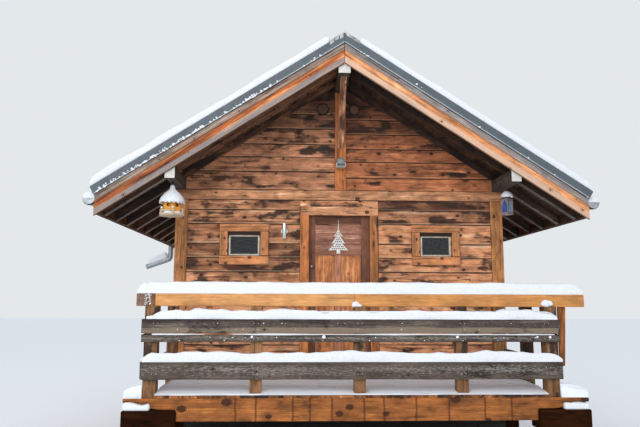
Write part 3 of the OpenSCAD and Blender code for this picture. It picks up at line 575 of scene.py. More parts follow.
build_gable_discs()


# ---- Roof timbers -------------------------------------------------------------------
# Purlins, knee braces, rafters and boarding of old larch under a wide overhang, coloured with
# painted shade, and with painted light under the left slope and on the braces; plumb-cut barge
# boards of newer larch that the weather has bleached at the foot.

ridge_z = 3.856
fall = math.tan(math.radians(33.07))


def slope_block(bm, side, reach, y, height):
    """A plumb-cut block on a roof slope, by its reach from the ridge and its height."""
    lean = Matrix.Identity(4)
    lean[2][0] = -fall
    verts = block(bm, at(reach[0], y[0], ridge_z + height[0]), at(reach[1], y[1], ridge_z + height[1]))
    bmesh.ops.transform(bm, matrix=Matrix.Diagonal((side, 1, 1, 1)) @ lean, verts=verts)
    return verts


dark_larch = larch("shaded_dark_larch", "#6b4d3a", "#4b3527", "#2f211b", scorched=0.35, streak=1.3)
# Lighter larch: painted light for the underside of the left slope, in from its wall plate.
lit_soffit_larch = larch(
    "painted_light_soffit_larch", "#c0906e", "#8e654c", "#583c2d", scorched=0.3, spread=0.35, streak=1.3,
)
purlin_larch = larch(
    "weathered_purlin_larch", "#665d53", "#4a433c", "#302b27", scorched=0.15, spread=0.1,
    streak=1.3,
)
# Lighter larch: painted light for the rafters under the left slope, in from its wall plate.
painted_light_rafter_larch = larch(
    "painted_light_rafter_larch", "#b07c5a", "#7c543c", "#4a3226", scorched=0.3, streak=1.4, joint_dirt_shade_highlight=0.5,
)
dress("ridge_purlin", purlin_larch, 31, width=0.006)
dress("wall_plates", purlin_larch, 32, width=0.006)
# The braces are painted lighter than their wood: painted light in the shade under the ridge.
painted_light_brace_larch = larch(
    "painted_light_brace_larch", "#ffd6b4", "#d89a70", "#6a3c28", scorched=0.32, streak=1.5, mottled=0.9,
)
dress("ridge_braces", painted_light_brace_larch, 33, width=0.005)
plate_x = 2.2


def in_shade(face):
    # The right slope, and the left one out from its wall plate.
    return face.center.x > 0 or face.center.x < -plate_x


# The rafters keep the painted light in from the left wall plate; elsewhere they get painted shade.
rafters = dress("rafters", painted_light_rafter_larch, 34, width=0.006)
repaint(rafters, dark_larch, in_shade)
worn_rafter_larch = larch(
    "worn_rafter_larch", "#9a948c", "#77716a", "#4c4741", scorched=0.15, streak=1.2,
)
repaint(rafters, worn_rafter_larch, lambda f: abs(f.center.x) > plate_x and f.normal.z < -0.5)
dress("rafter_blocks", dark_larch, 35, along=along_y)
dress("eave_boards", dark_larch, 36, along=along_y)
dress("roof_battens", dark_larch, 38, along=along_y, step=0.6)


def build_roof_boards():
    # Tongued boards about 140 mm wide, laid along the roof over the rafters. Those on the
    # left slope, in from the wall plate, are painted lighter underneath as painted light; all
    # the others get the darker painted shade.
    low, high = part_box("roof_boards")
    front, rear = low.y - wall_y, high.y - wall_y
    reach, first, count = high.x, 0.002, 21
    pitch = (reach - first) / count
    bm = bmesh.new()
    for side in (-1, 1):
        for k in range(count):
            near = first + k * pitch
            slope_block(bm, side, (near, near + pitch - 0.003), (front, rear), (0.1405, 0.1715))
    outwards(bm)
    ease(bm, bm.edges[:], 0.003)
    season(bm, 37, 0.001, 0.6, along_y)
    boards = make_piece("roof_boards_laid", bm, lit_soffit_larch, "roof_boards")
    repaint(boards, dark_larch, in_shade)


build_roof_boards()

left_barge = larch(
    "bleached_left_barge_larch", "#e0925a", "#a35a30", "#562816", scorched=0, streak=1.8,
    foot="#8d9b9c", foot_share=0.44, foot_edge=0.05, spread=0.04, knots=0.03, joint_dirt_shade_highlight=0.7,
)
right_barge = larch(
    "bleached_right_barge_larch", "#ffc492", "#dc9460", "#8e5230", scorched=0, streak=1.4,
    foot="#d8c0ae", foot_share=0.46, foot_edge=0.09, spread=0.04, knots=0.03, joint_dirt_shade_highlight=0.6,
)
dress("barge_boards", left_barge, 39, keep=lambda m: m.x < 0, suffix="_left")
dress("barge_boards", right_barge, 40, keep=lambda m: m.x > 0, suffix="_right")
left_verge = larch(
    "pinkish_verge_larch", "#bfab9c", "#968071", "#634c3f", scorched=0, spread=0.05, streak=1.3,
    joint_dirt_shade_highlight=0.8, knots=0.03,
)
right_verge = larch(
    "taupe_verge_larch", "#c2b6b0", "#9c908a", "#6a605a", scorched=0, spread=0.05, streak=1.3,
    joint_dirt_shade_highlight=0.6, knots=0.03,
)
dress("verge_boards", left_verge, 41, keep=lambda m: m.x < 0, suffix="_left")
dress("verge_boards", right_verge, 42, keep=lambda m: m.x > 0, suffix="_right")


def painted_metal(name, colour, dirt, roughness, share=0.5):
    # Sheet steel under matt roof paint, dirty in soft clouds 0.1 to 0.3 m across.
    s = Surface(name)
    cloud = s.cloud(7.0, 7.0, 0.65)
    paint = s.mix(s.span(cloud, 0.4, 0.65, share), colour, dirt)
    dull = s.span(cloud, end=roughness + 0.25, start=roughness - 0.1)
    # Folded sheet is never quite flat: waves about 0.2 m long and 2 mm deep.
    return s.coat(paint, dull, s.cloud(5.0), depth=0.004)


def build_purlin_caps():
    # Each cap is folded over the purlin's end, which leaves a raised rim round its face.
    bm = copy_of("purlin_caps")
    ends = [f for f in bm.faces if abs(f.normal.y) > 0.9]
    front = min(f.calc_center_median().y for f in ends)
    rear = max(f.calc_center_median().y for f in ends)
    outer = [f for f in ends if min(abs(f.calc_center_median().y - y) for y in (front, rear)) < 1e-4]
    inset(bm, outer, 0.012, -0.0025)
    ease(bm, sharp_edges(bm), 0.0012, 2)
    make_piece(
        "purlin_cap_sheets", bm, painted_metal("cream_cap_metal", "#dbd8d2", "#b3aea5", 0.45),
        "purlin_caps",
    )


build_purlin_caps()


# ---- Roof covering ------------------------------------------------------------------
# Grey painted sheet metal with its edges turned down over the verges into a hem, a bent
# ridge cap, and half-round zinc gutters on iron brackets with short spouts.

def paint_node(name, material):
    """Gives a CAD node's slots one material."""
    mesh = nodes[name].data
    if not mesh.materials:
        mesh.materials.append(material)
    for k in range(len(mesh.materials)):
        mesh.materials[k] = material


roof_metal = painted_metal("grey_roof_metal", "#555e64", "#454c50", 0.5)
hem_metal = painted_metal("worn_hem_metal", "#a3abaf", "#7c8386", 0.4)
paint_node("roof_sheets", roof_metal)
sheet_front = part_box("roof_sheets")[0].y - wall_y
sheet_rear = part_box("roof_sheets")[1].y - wall_y
edge_low, sheet_top = 0.262, 0.383


def build_hems():
    # Three lengths to each edge, with a joint 3 mm wide between them.
    bm = bmesh.new()
    proud, deep, length, pitch = 0.004, 0.008, 0.992, 0.995
    front, rear = (sheet_front - proud, sheet_front + deep), (sheet_rear - deep, sheet_rear + proud)
    for side in (-1, 1):
        for y in (front, rear):
            for k in range(3):
                start = 0.004 + k * pitch
                slope_block(bm, side, (start, start + length), y, (edge_low - 0.001, edge_low + 0.016))
    outwards(bm)
    ease(bm, bm.edges[:], 0.002, 2)
    make_piece("verge_hems", bm, hem_metal)


def build_ridge_cap():
    # The bent cap with its front end folded down in strips: neat on the right, torn and
    # rusted on the left.
    bm = copy_of("ridge_cap")
    ease(bm, sharp_edges(bm), 0.004, 2)
    neat = ((0.02, 0.19, 0.020),)
    torn = ((0.02, 0.06, 0.045), (0.075, 0.12, 0.03), (0.135, 0.19, 0.04))
    for side, ends in ((1, neat), (-1, torn)):
        for near, far, drop in ends:
            slope_block(
                bm, side, (near, far), (sheet_front - 0.005, sheet_front - 0.001),
                (sheet_top - drop, sheet_top + 0.022),
            )
    outwards(bm)
    make_piece(
        "ridge_cap_sheet", bm, painted_metal("rusty_cap_metal", "#c3c4c2", "#4a3e37", 0.6, 0.85),
        "ridge_cap",
    )


build_hems()
build_ridge_cap()


def weathered_zinc():
    # Dull bluish zinc with paler bloom in spots about 30 mm wide.
    s = Surface("weathered_zinc", metallic=0.85)
    bloom = s.cloud(30.0, 5.0, 0.6)
    colour = s.ramp(bloom, (0.35, "#8f999e"), (0.55, "#a9b1b4"), (0.7, "#c3c8c9"))
    return s.coat(colour, s.span(bloom, end=0.6, start=0.3))


def wrought_iron():
    # Blackened iron, hammered: uneven on a scale of 8 mm, with a dull shine.
    s = Surface("wrought_iron", metallic=0.7, roughness=0.5)
    dents = s.cloud(120.0)
    return s.coat(s.ramp(dents, (0.3, "#2f2c2a"), (0.7, "#4a4541")), height=dents)


zinc = weathered_zinc()
iron = wrought_iron()
paint_node("gutters", zinc)
paint_node("gutter_spouts", zinc)
gutter_r = 0.075
gutter_x, gutter_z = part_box("gutters")[1].x - gutter_r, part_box("gutters")[1].z


def build_gutter_brackets():
    # Flat iron straps bent round the gutter, one to each rafter bay.
    low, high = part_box("gutters")
    inner, count = gutter_x - gutter_r, 9
    bm = bmesh.new()
    for side in (-1, 1):
        for k in range(count):
            y = low.y + 0.02 + (high.y - low.y - 0.07) * k / (count - 1)
            strap = block(bm, (inner - 0.006, y, gutter_z - 0.004), (inner, y + 0.03, gutter_z))
            faces = {f: None for v in strap for f in v.link_faces}
            low_face = min(faces, key=lambda f: f.calc_center_median().z)
            edges = list(low_face.edges)
            bmesh.ops.delete(bm, geom=[low_face], context="FACES_ONLY")
            swept = bmesh.ops.spin(
                bm, geom=edges, cent=(gutter_x, y, gutter_z - 0.004), axis=(0, -1, 0),
                angle=math.pi, steps=12, use_merge=False,
            )["geom_last"]
            bmesh.ops.contextual_create(bm, geom=edges_in(swept))
            if side < 0:
                part = island(strap[0])
                bmesh.ops.transform(bm, matrix=Matrix.Diagonal((-1, 1, 1, 1)), verts=part)
    outwards(bm)
    make_piece("gutter_brackets", bm, iron)


build_gutter_brackets()


# ---- Snow ---------------------------------------------------------------------------
# Fresh snow, dry and a little wind-rounded, that lies on the roof, in the gutters,
# along the rails and on the deck, and clings in specks to the roof's left edge.

def fresh_snow(name, hollow, crest):
    # Diffuse white with a faint cold tint and a grainy surface of a few millimetres.
    s = Surface(name, roughness=0.85, specular_ior_level=0.2)
    grains = s.cloud(45.0, 7.0, 0.75)
    return s.coat(s.ramp(grains, (0.35, hollow), (0.6, crest)), height=grains, depth=0.008)


snow = fresh_snow("fresh_snow", "#dfe3e9", "#eff0f2")
# A brighter, bluer copy of the snow: painted light for the snow in shade on the deck and the spouts.
painted_light_snow = fresh_snow("painted_light_snow", "#eef5ff", "#f7fbff")


def soften(bm, seed, step, lumps, fine=0.35, hold=None):
    """Cuts snow small enough to bend, then lets its upper faces swell and sink."""
    spots = [v.co for v in bm.verts]
    low = Vector([min(c[k] for c in spots) for k in range(3)])
    high = Vector([max(c[k] for c in spots) for k in range(3)])
    for axis in range(3):
        normal = Vector([float(axis == k) for k in range(3)])
        count = int((high[axis] - low[axis]) / step)
        for k in range(1, count):
            point = low + (high - low) * k / count
            bmesh.ops.bisect_plane(
                bm, geom=everything(bm), dist=1e-4, plane_co=point, plane_no=normal
            )
    bm.normal_update()
    shift = Vector((seed * 3.1, seed * 1.7, seed * 0.9))
    moves = []
    for v in bm.verts:
        weight = min(1.0, max(0.0, v.normal.z + 0.3))
        swell = noise.noise(v.co * 2.6 + shift) * lumps + noise.noise(v.co * 9.0 + shift) * lumps * fine
        moves.append((v, v.normal * swell * weight * (hold(v.co) if hold else 1.0)))
    for v, move in moves:
        v.co += move


def drift(name, seed, round_off, step, lumps, fine=0.35, material=snow, shape=None, hold=None):
    """A CAD node's snow with rounded edges and a soft uneven surface."""
    bm = copy_of(name)
    ease(bm, sharp_edges(bm), round_off, 3)
    soften(bm, seed, step, lumps, fine, hold)
    if shape:
        for v in bm.verts:
            shape(v.co)
    return make_piece(name + "_drift", bm, material, name, smooth=True)


def settle_rail_snow(co):
    # Each bar of snow, given by its foot and its ends, thins out and rounds off towards them.
    taper = 0.13
    for foot, near, far in ((0.993, -2.191, 2.399), (0.739, -2.02, 2.092), (0.318, -2.10, 2.12)):
        height = co.z - deck_z - foot
        if 0.002 < height < 0.2 and co.y < wall_y - 1.6:
            end = min(co.x - near, far - co.x)
            if end < taper:
                co.z -= height * 0.65 * (1 - max(0.0, end) / taper) ** 2


def settle_deck_snow(co):
    # Wind and feet have thinned it towards the deck's front edge, and the mounds beside
    # the corner posts fall off towards the beam's ends.
    if abs(co.x) < 2.05 and co.z > deck_z:
        near = min(1.0, max(0.0, (co.y - wall_y + 1.83) / 0.30))
        co.z = deck_z + (co.z - deck_z) * (0.16 + 0.84 * near)
    elif abs(co.x) > 2.09 and co.z > deck_z - 0.025:
        out = min(1.0, max(0.0, (abs(co.x - 0.05) - 2.04) / 0.28))
        co.z = deck_z - 0.03 + (co.z - deck_z + 0.03) * math.sqrt(1.02 - 0.75 * out * out)


drift("roof_snow", 1, 0.02, 0.12, 0.018)
drift("gutter_snow", 2, 0.01, 0.12, 0.012)
drift("rail_snow", 3, 0.014, 0.045, 0.038, 0.8, shape=settle_rail_snow,
      hold=lambda co: 0.22 if co.z > deck_z + 0.99 else 1.0 if co.z > deck_z + 0.7 else 0.6)
drift("deck_snow", 4, 0.01, 0.07, 0.014, material=painted_light_snow, shape=settle_deck_snow)


def build_snow_specks():
    rng = random.Random(8)
    bm = bmesh.new()

    def speck(x, y, z, size, flat=0.25, tall=0.6):
        verts = bmesh.ops.create_icosphere(bm, subdivisions=2, radius=size)["verts"]
        turn = Matrix.Translation(at(x, y, z)) @ Matrix.Diagonal((1.0, flat, tall, 1.0))
        for v in verts:
            v.co *= 1.0 + 0.35 * noise.noise(v.co / size * 1.3 + Vector((x * 9, z * 9, size * 50)))
        bmesh.ops.transform(bm, matrix=turn, verts=verts)

    # Along the hem: in clumps all along the left slope, here and there on the right one.
    for side, count in ((-1, 280), (1, 10)):
        for k in range(count):
            x = rng.uniform(0.06, 2.96)
            clump = noise.noise(Vector((x * 2.3, side, 0.5)))
            if side < 0 and clump < rng.uniform(-0.5, 0.15):
                continue
            up = rng.choice((0.006, 0.010, 0.014, 0.018, 0.028 + 0.03 * max(clump, 0.0)))
            size = rng.uniform(0.005, 0.017)
            speck(side * x, sheet_front - 0.003, ridge_z - x * fall + edge_low + up, size, 0.3, 0.7)
    # Where it slid off the handrail and stuck, and on the rails below.
    for x, y, z, size in ((0.024, -1.785, 0.885, 0.042), (0.062, -1.785, 0.872, 0.028),
                          (1.99, -1.785, 0.90, 0.050), (2.035, -1.785, 0.905, 0.034)):
        speck(x, y, z, size, 0.4, 0.8)
    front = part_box("front_rails")[0].y - wall_y
    for k in range(34):
        x, z = rng.uniform(-1.9, 1.95), rng.choice((0.53, 0.56, 0.64, 0.70))
        speck(x, front, z, rng.uniform(0.003, 0.007), 0.4, 0.8)
    for x in (-0.3, 1.05, 1.87, 2.0, -1.02):
        speck(x, front, 0.565, rng.uniform(0.012, 0.022), 0.4, 0.9)
    # A thin line of it lies on the joint between the two middle boards.
    count = 420
    for k in range(count):
        x = -2.0 + 4.05 * k / count
        thick = 0.5 + noise.noise(Vector((x * 1.9, 3.1, 0.2)))
        if thick > 0.1:
            speck(x, front + 0.003, 0.590, 0.008 + 0.005 * thick, 0.7, 0.35 + 0.35 * thick)
    # A smear of it on the left corner post, between the handrails' ends.
    for k in range(70):
        x, z = rng.uniform(-2.105, -2.045), rng.uniform(0.875, 0.988)
        speck(x, -1.7795, z, rng.uniform(0.0015, 0.0045), 0.25, 1.4)
    make_piece("snow_specks", bm, snow, smooth=True)


def build_cap_snow():
    # Snow that has sifted in under the beam's scalloped ends, on top of the cap blocks.
    low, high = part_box("beam_caps")
    bm = bmesh.new()
    for near, far in ((low.x + 0.01, low.x + 0.27), (high.x - 0.27, high.x - 0.01)):
        block(bm, (near, low.y + 0.008, high.z - 0.004), (far, low.y + 0.21, high.z + 0.064))
    ease(bm, bm.edges[:], 0.022, 3)
    soften(bm, 12, 0.03, 0.03, 0.9)
    make_piece("cap_snow", bm, snow, smooth=True)


def build_spout_snow():
    # Snow that lies along each spout, on its upper two thirds.
    low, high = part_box("gutter_spouts")
    y = (low.y + high.y) / 2
    bm = bmesh.new()
    for side in (-1, 1):
        verts = block(bm, (-0.03, -0.055, 0.02), (0.375, 0.055, 0.16))
        slant = Matrix.Rotation(math.radians(19), 4, "Y")
        start = Vector((gutter_x + 0.061, y, gutter_z - 0.425))
        bmesh.ops.transform(
            bm, matrix=Matrix.Diagonal((side, 1, 1, 1)) @ Matrix.Translation(start) @ slant, verts=verts
        )
    outwards(bm)
    ease(bm, bm.edges[:], 0.035, 4)
    soften(bm, 9, 0.04, 0.012)
    make_piece("spout_snow", bm, painted_light_snow, smooth=True)


build_snow_specks()
build_cap_snow()
build_spout_snow()


# ---- Door frame and windows ---------------------------------------------------------
# Two heavy larch jambs under a lintel, and flat casings round the two small windows,
# whose heads and sills run through. Each window has a cream painted sash and one pane.

left_jamb = larch("left_jamb_larch", "#f2a468", "#c67a46", "#8c5030", scorched=0.2, joint_dirt_shade_highlight=0.6)
right_jamb = larch(
    "right_jamb_larch", "#e0985f", "#a86a40", "#643722", scorched=0.3, knots=0.085, joint_dirt_shade_highlight=0.8,
    cracked=0.9,
)
lintel_larch = larch(
    "door_lintel_larch", "#ffcca2", "#d4976c", "#8c553a", scorched=0, knots=0.07, cracked=0.95,
    streak=1.4, mottled=0.8,
)
casing_larch = larch(
    "window_casing_larch", "#ffc496", "#de935e", "#94603f", scorched=0, joint_dirt_shade_highlight=1.0, mottled=0.7,
)
# Near-black larch for the window linings: painted shade under the casing heads.
shaded_lining_larch = larch("painted_shade_lining_larch", "#6a3c24", "#4c2816", "#2c160c", scorched=0.2, knots=0)


def build_timbers(name, seed, timbers, material, replaced):
    """Squared timbers given by their ends along x, y and z, with eased edges and grain."""
    bm = bmesh.new()
    for x, y, z in timbers:
        block(bm, at(x[0], y[0], z[0]), at(x[1], y[1], z[1]))
    ease(bm, bm.edges[:], 0.004)
    season(bm, seed, 0.003)
    return make_piece(name, bm, material, replaced)


def build_door_frame():
    # The jambs and the lintel are rebated behind the stop, where the leaf's edge lies.
    left, right, jamb, lap = -0.417, 0.384, 0.118, 0.018
    top, lintel, sill, foot = 2.048, 0.111, 0.020, -0.139
    front, back = (0.0, 0.069), (0.0692, 0.120)
    upright, across = (foot, top - 0.001), (left - jamb, right + jamb)
    for name, seed, x, z, wood in (
        ("door_jamb_left", 51, (left - jamb, left), upright, left_jamb),
        ("door_jamb_right", 53, (right, right + jamb), upright, right_jamb),
        ("door_lintel", 54, across, (top, top + lintel), lintel_larch),
    ):
        build_timbers(name, seed, ((x, front, z),), wood, "door_frame")
    build_timbers(
        "door_frame_rebate", 55,
        (((left - jamb, left - lap), back, upright), ((right + lap, right + jamb), back, upright),
         (across, back, (top + lap, top + lintel)),
         ((left + 0.001, right - 0.001), (0.0, 0.120), (foot, sill))),
        left_jamb, "door_frame",
    )


def build_window_casings():
    # Head and sill run through between the sides; a lining strip closes the top, partly a real inner
    # frame and dark as painted shade under the head.
    half, side, low, high = 0.3215, 0.109, 1.387, 1.925
    upright = (low + 0.121, high - 0.103)
    for name, x in (("left", -window_x), ("right", window_x)):
        near, far, y = x - half, x + half, (-0.008, 0.0197)
        build_timbers(
            "window_casing_" + name, 52,
            (((near, far), y, (low, low + 0.120)), ((near, far), y, (high - 0.102, high)),
             ((near, near + side), y, upright), ((far - side, far), y, upright)),
            casing_larch, "window_frames",
        )
        inner = (near + side + 0.001, far - side - 0.001)
        build_timbers(
            "window_lining_" + name, 56, ((inner, (-0.002, 0.0195), (high - 0.149, high - 0.1035)),),
            shaded_lining_larch, "window_frames",
        )


build_door_frame()
build_window_casings()


def cream_paint():
    # Old gloss paint on wood: satin, greyed in soft stains, with faint brush marks 2 mm wide.
    s = Surface("cream_sash_paint", roughness=0.45)
    stained = s.ramp(s.cloud(14.0, 6.0, 0.7), (0.35, "#b8ab9a"), (0.55, "#d6cbba"), (0.7, "#e2d9ca"))
    return s.coat(stained, height=s.cloud(400.0, 1.0), strength=0.3, depth=0.0008)


def build_sashes():
    # Stiles and rails round each pane, with a rounded bead towards the glass.
    low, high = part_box("window_sashes")
    width, stile, top_rail, bottom_rail = 0.403, 0.022, 0.047, 0.022
    bm = bmesh.new()
    for near, far in ((low.x, low.x + width), (high.x - width, high.x)):
        for x in ((near, near + stile), (far - stile, far)):
            block(bm, (x[0], low.y, low.z + bottom_rail), (x[1], high.y, high.z - top_rail))
        block(bm, (near, low.y, low.z), (far, high.y, low.z + bottom_rail))
        block(bm, (near, low.y, high.z - top_rail), (far, high.y, high.z))
    ease(bm, bm.edges[:], 0.003, 2)
    make_piece("window_sash_frames", bm, cream_paint(), "window_sashes")


def window_glass():
    # Old drawn glass: clear, and wavy over about 0.1 m, so that its reflections bend.
    s = Surface(
        "drawn_window_glass", base_color="#a8b0af", roughness=0.02, transmission_weight=1.0, ior=1.5
    )
    return s.coat(height=s.cloud(9.0, 1.0), strength=0.35, depth=0.004)


build_sashes()
paint_node("window_glass", window_glass())


# ---- Door ---------------------------------------------------------------------------
# Framed and panelled door leaf, stained reddish brown: two stiles, three rails and a
# mullion, mortised together round three raised panels. It hangs on the right on two
# pinned iron hinges and opens inwards. Its knob is worn steel.

leaf_low, leaf_high = (-0.427, 0.028), (0.394, 2.058)
leaf_front, leaf_back = 0.075, 0.120
# Each panel's lower left and upper right corner, over the house's middle and the deck.
top_panel = (-0.337, 1.601), (0.286, 1.936)
left_panel = (-0.330, 0.240), (-0.072, 1.521)
right_panel = (0.008, 0.240), (0.273, 1.521)
frame_stain = larch(
    "stained_door_frame_larch", "#d09070", "#a06a52", "#6c4234", scorched=0, spread=0.75,
    knots=0.03, cracked=0.3, joint_dirt_shade_highlight=0.5,
)
panel_stain = larch(
    "stained_door_panel_larch", "#ffb27a", "#cb8150", "#884f34", scorched=0, spread=0.1, knots=0.03,
    streak=1.3, cracked=0.3, mottled=0.8, joint_dirt_shade_highlight=0.9,
)
top_panel_stain = larch(
    "stained_top_panel_larch", "#dca48a", "#aa7661", "#704a3e", scorched=0, spread=0.06, knots=0.03,
    streak=1.4, cracked=0.3, mottled=0.7, joint_dirt_shade_highlight=1.0,
)
edge_stain = larch(
    "rubbed_door_bead_larch", "#dcae92", "#bd8a70", "#8c5e4a", scorched=0.05, spread=0.05, knots=0,
    cracked=0.2,
)


def build_door_leaf():
    stile_left, stile_right = -0.3335, 0.2795
    members = (
        (leaf_low, (stile_left, leaf_high[1])),
        ((stile_right, leaf_low[1]), leaf_high),
        ((stile_left, top_panel[1][1]), (stile_right, leaf_high[1])),
        ((stile_left, left_panel[1][1]), (stile_right, top_panel[0][1])),
        ((stile_left, leaf_low[1]), (stile_right, left_panel[0][1])),
        ((left_panel[1][0], left_panel[0][1]), (right_panel[0][0], left_panel[1][1])),
    )
    bm = bmesh.new()
    for low, high in members:
        block(bm, at(low[0], leaf_front, low[1]), at(high[0], leaf_back, high[1]))
    ease(bm, bm.edges[:], 0.003, 2)
    # The stiles are darkest and the mullion is palest; the top rail is darkened as painted shade under
    # the lintel.
    season(
        bm, 61, 0.0004, 0.3,
        tones=lambda m: 0.27 if abs(m.x + 0.016) > 0.2 else -0.05 if m.z > deck_z + 1.9
        else 0.47 if m.z > deck_z + 1.4 else 0.77,
    )
    make_piece("door_leaf_frame", bm, frame_stain, "door_leaf", "door")
    # Each panel is bevelled towards its edges and has a flat field in the middle.
    recess, lap = 0.014, 0.003
    bm = bmesh.new()
    for low, high in (top_panel, left_panel, right_panel):
        verts = block(
            bm, at(low[0] - lap, leaf_front + recess, low[1] - lap),
            at(high[0] + lap, leaf_back - recess, high[1] + lap),
        )
        faces = [f for f in {f: None for v in verts for f in v.link_faces} if abs(f.normal.y) > 0.9]
        inset(bm, faces, 0.038, 0.005)
        inset(bm, faces, 0.002, 0.003)
    season(bm, 62, 0.0003, 0.3)
    for f in bm.faces:
        f.material_index = int(f.calc_center_median().z > deck_z + left_panel[1][1] + 0.02)
    stains = [panel_stain, top_panel_stain]
    make_piece("door_leaf_panels", bm, stains, "door_leaf", "door")
    # A quarter-round bead holds each panel in the frame, on both faces.
    bm = bmesh.new()
    bead = 0.009
    for low, high in (top_panel, left_panel, right_panel):
        for y in (leaf_front + 0.003, leaf_back - 0.003 - bead):
            for x in ((low[0], low[0] + bead), (high[0] - bead, high[0])):
                block(bm, at(x[0], y, low[1]), at(x[1], y + bead, high[1]))
            for z in ((low[1], low[1] + bead), (high[1] - bead, high[1])):
                block(bm, at(low[0] + bead, y, z[0]), at(high[0] - bead, y + bead, z[1]))
    ease(bm, bm.edges[:], 0.0035, 2)
    season(bm, 63, 0.0, 0.5)
    make_piece("door_panel_beads", bm, edge_stain, body="door")


build_door_leaf()
paint_node("door_hinges", iron)


def worn_steel(name, colour, roughness):
    # Bright steel scratched by use, in fine lines that run round it about 1 mm apart.
    s = Surface(name, base_color=colour, metallic=0.9)
    scratch = s.cloud((25.0, 25.0, 900.0), 3.0)
    dull = s.span(scratch, 0.3, 0.7, roughness + 0.15, roughness - 0.1)
    return s.coat(dull=dull, height=scratch, strength=0.2, depth=0.0005)


def build_door_hardware():
    knob = copy_of("door_hardware", lambda m: m.x < 0)
    make_piece("door_knob", knob, worn_steel("worn_knob_steel", "#d2cbbd", 0.35),
               "door_hardware", "door", smooth=True)
    hinges = copy_of("door_hardware", lambda m: m.x > 0)
    ease(hinges, sharp_edges(hinges), 0.0008)
    make_piece("door_hinge_leaves", hinges, iron, "door_hardware", "door")


build_door_hardware()


def bare_plywood():
    # Thin birch plywood left bare: pale, with a faint grain up and down.
    s = Surface("bare_plywood", roughness=0.75)
    fibre = s.cloud((160.0, 160.0, 8.0), 4.0)
    colour = s.ramp(fibre, (0.35, "#e2dfd6"), (0.6, "#f8f6f0"))
    return s.coat(colour, height=fibre, strength=0.3, depth=0.0008)


def outline(curve, points):
    line = curve.splines.new("POLY")
    line.points.add(len(points) - 1)
    for spot, (x, z) in zip(line.points, points):
        spot.co = (x, z, 0, 1)
    line.use_cyclic_u = True


def facing(spot):
    """Stands up what lies flat, so that it faces forwards, and moves it to its spot."""
    return Matrix.Translation(spot) @ Matrix.Rotation(math.pi / 2, 4, "X")


def stud(bm, spot, foot, head, length, segments=10):
    """A nail's or a screw's head that stands out from an upright face."""
    bmesh.ops.create_cone(
        bm, cap_ends=True, segments=segments, radius1=foot, radius2=head, depth=length,
        matrix=facing(spot),
    )


def build_ornament():
    # A flat fir tree sawn out in openwork, on a loop of ribbon from a nail in the top rail.
    tree_x, tree_z, thick = -0.025, 1.542, 0.006
    half = [(0.024, 0.0), (0.024, 0.048), (0.134, 0.042), (0.040, 0.146), (0.094, 0.130),
            (0.018, 0.238), (0.060, 0.226), (0.004, 0.318)]
    rows = ((0.067, 0.090), (0.095, 0.067), (0.123, 0.040), (0.160, 0.055), (0.186, 0.036),
            (0.212, 0.018), (0.252, 0.027), (0.276, 0.014))
    curve = bpy.data.curves.new("door_ornament_outline", "CURVE")
    curve.dimensions = "2D"
    curve.fill_mode = "BOTH"
    curve.extrude = thick / 2
    outline(curve, half + [(-x, z) for x, z in reversed(half)])
    # Round holes 19 mm wide, sawn in staggered rows as close as lace.
    hole, pitch, turns = 0.0095, 0.026, [k * math.pi / 4 for k in range(8)]
    for k, (z, reach) in enumerate(rows):
        x = pitch / 2 if k % 2 else 0.0
        while x < reach:
            for side in {x, -x}:
                outline(curve, [(side + hole * math.cos(a), z + hole * math.sin(a)) for a in turns])
            x += pitch
    flat = bpy.data.objects.new("door_ornament_outline", curve)
    bm = bmesh.new()
    bm.from_mesh(flat.to_mesh())
    flat.to_mesh_clear()
    bpy.data.objects.remove(flat)
    bmesh.ops.transform(bm, matrix=facing(at(tree_x, leaf_front - 0.004, tree_z)), verts=bm.verts)
    bmesh.ops.remove_doubles(bm, verts=bm.verts, dist=1e-5)
    outwards(bm)
    make_piece("door_ornament_tree", bm, bare_plywood(), "door_ornament", "door")
    ribbon = bmesh.new()
    peak, nail_z = tree_z + 0.306, tree_z + 0.313 + 0.13
    for lean in (-0.004, 0.004):
        verts = block(
            ribbon, at(tree_x - 0.0022, leaf_front - 0.0045, peak),
            at(tree_x + 0.0022, leaf_front - 0.0028, nail_z),
        )
        for v in verts:
            if v.co.z < deck_z + peak + 0.01:
                v.co.x += lean
    ease(ribbon, ribbon.edges[:], 0.0005)
    stud(ribbon, at(tree_x, leaf_front - 0.004, nail_z), 0.005, 0.004, 0.008, 12)
    make_piece("door_ornament_ribbon", ribbon, bare_plywood(), body="door")


build_ornament()


# ---- Wall lamp and gable light ------------------------------------------------------
# A brushed steel cylinder that shines up and down, on a round plate beside the door, and
# a small floodlight in a pale plastic housing on the front king post.

def frosted_glass():
    # Sandblasted glass: white and soft, without a clear reflection.
    s = Surface("frosted_glass", roughness=0.5, ior=1.5)
    return s.coat(s.ramp(s.cloud(300.0), (0.3, "#cfd6d8"), (0.7, "#e8ecec")))


def build_wall_lamp():
    low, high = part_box("wall_lamp")
    x, radius = (low.x + high.x) / 2, 0.028
    axis_y = low.y + radius
    bm = copy_of("wall_lamp")
    ease(bm, sharp_edges(bm, 0.9), 0.0012, 2)
    # Two screws hold the plate.
    for side in (-1, 1):
        stud(bm, (x + side * 0.033, high.y - 0.0145, (low.z + high.z) / 2), 0.005, 0.003, 0.004)
    make_piece("wall_lamp_body", bm, worn_steel("brushed_lamp_steel", "#d6d8d8", 0.3),
               "wall_lamp")
    lens = bmesh.new()
    for z, turn in ((low.z + 0.006, math.pi), (high.z - 0.006, 0.0)):
        place = Matrix.Translation((x, axis_y, z)) @ Matrix.Rotation(turn, 4, "X")
        bmesh.ops.create_cone(
            lens, cap_ends=True, segments=32, radius1=radius - 0.0032, radius2=radius - 0.006,
            depth=0.005, matrix=place,
        )
    make_piece("wall_lamp_lenses", lens, frosted_glass())


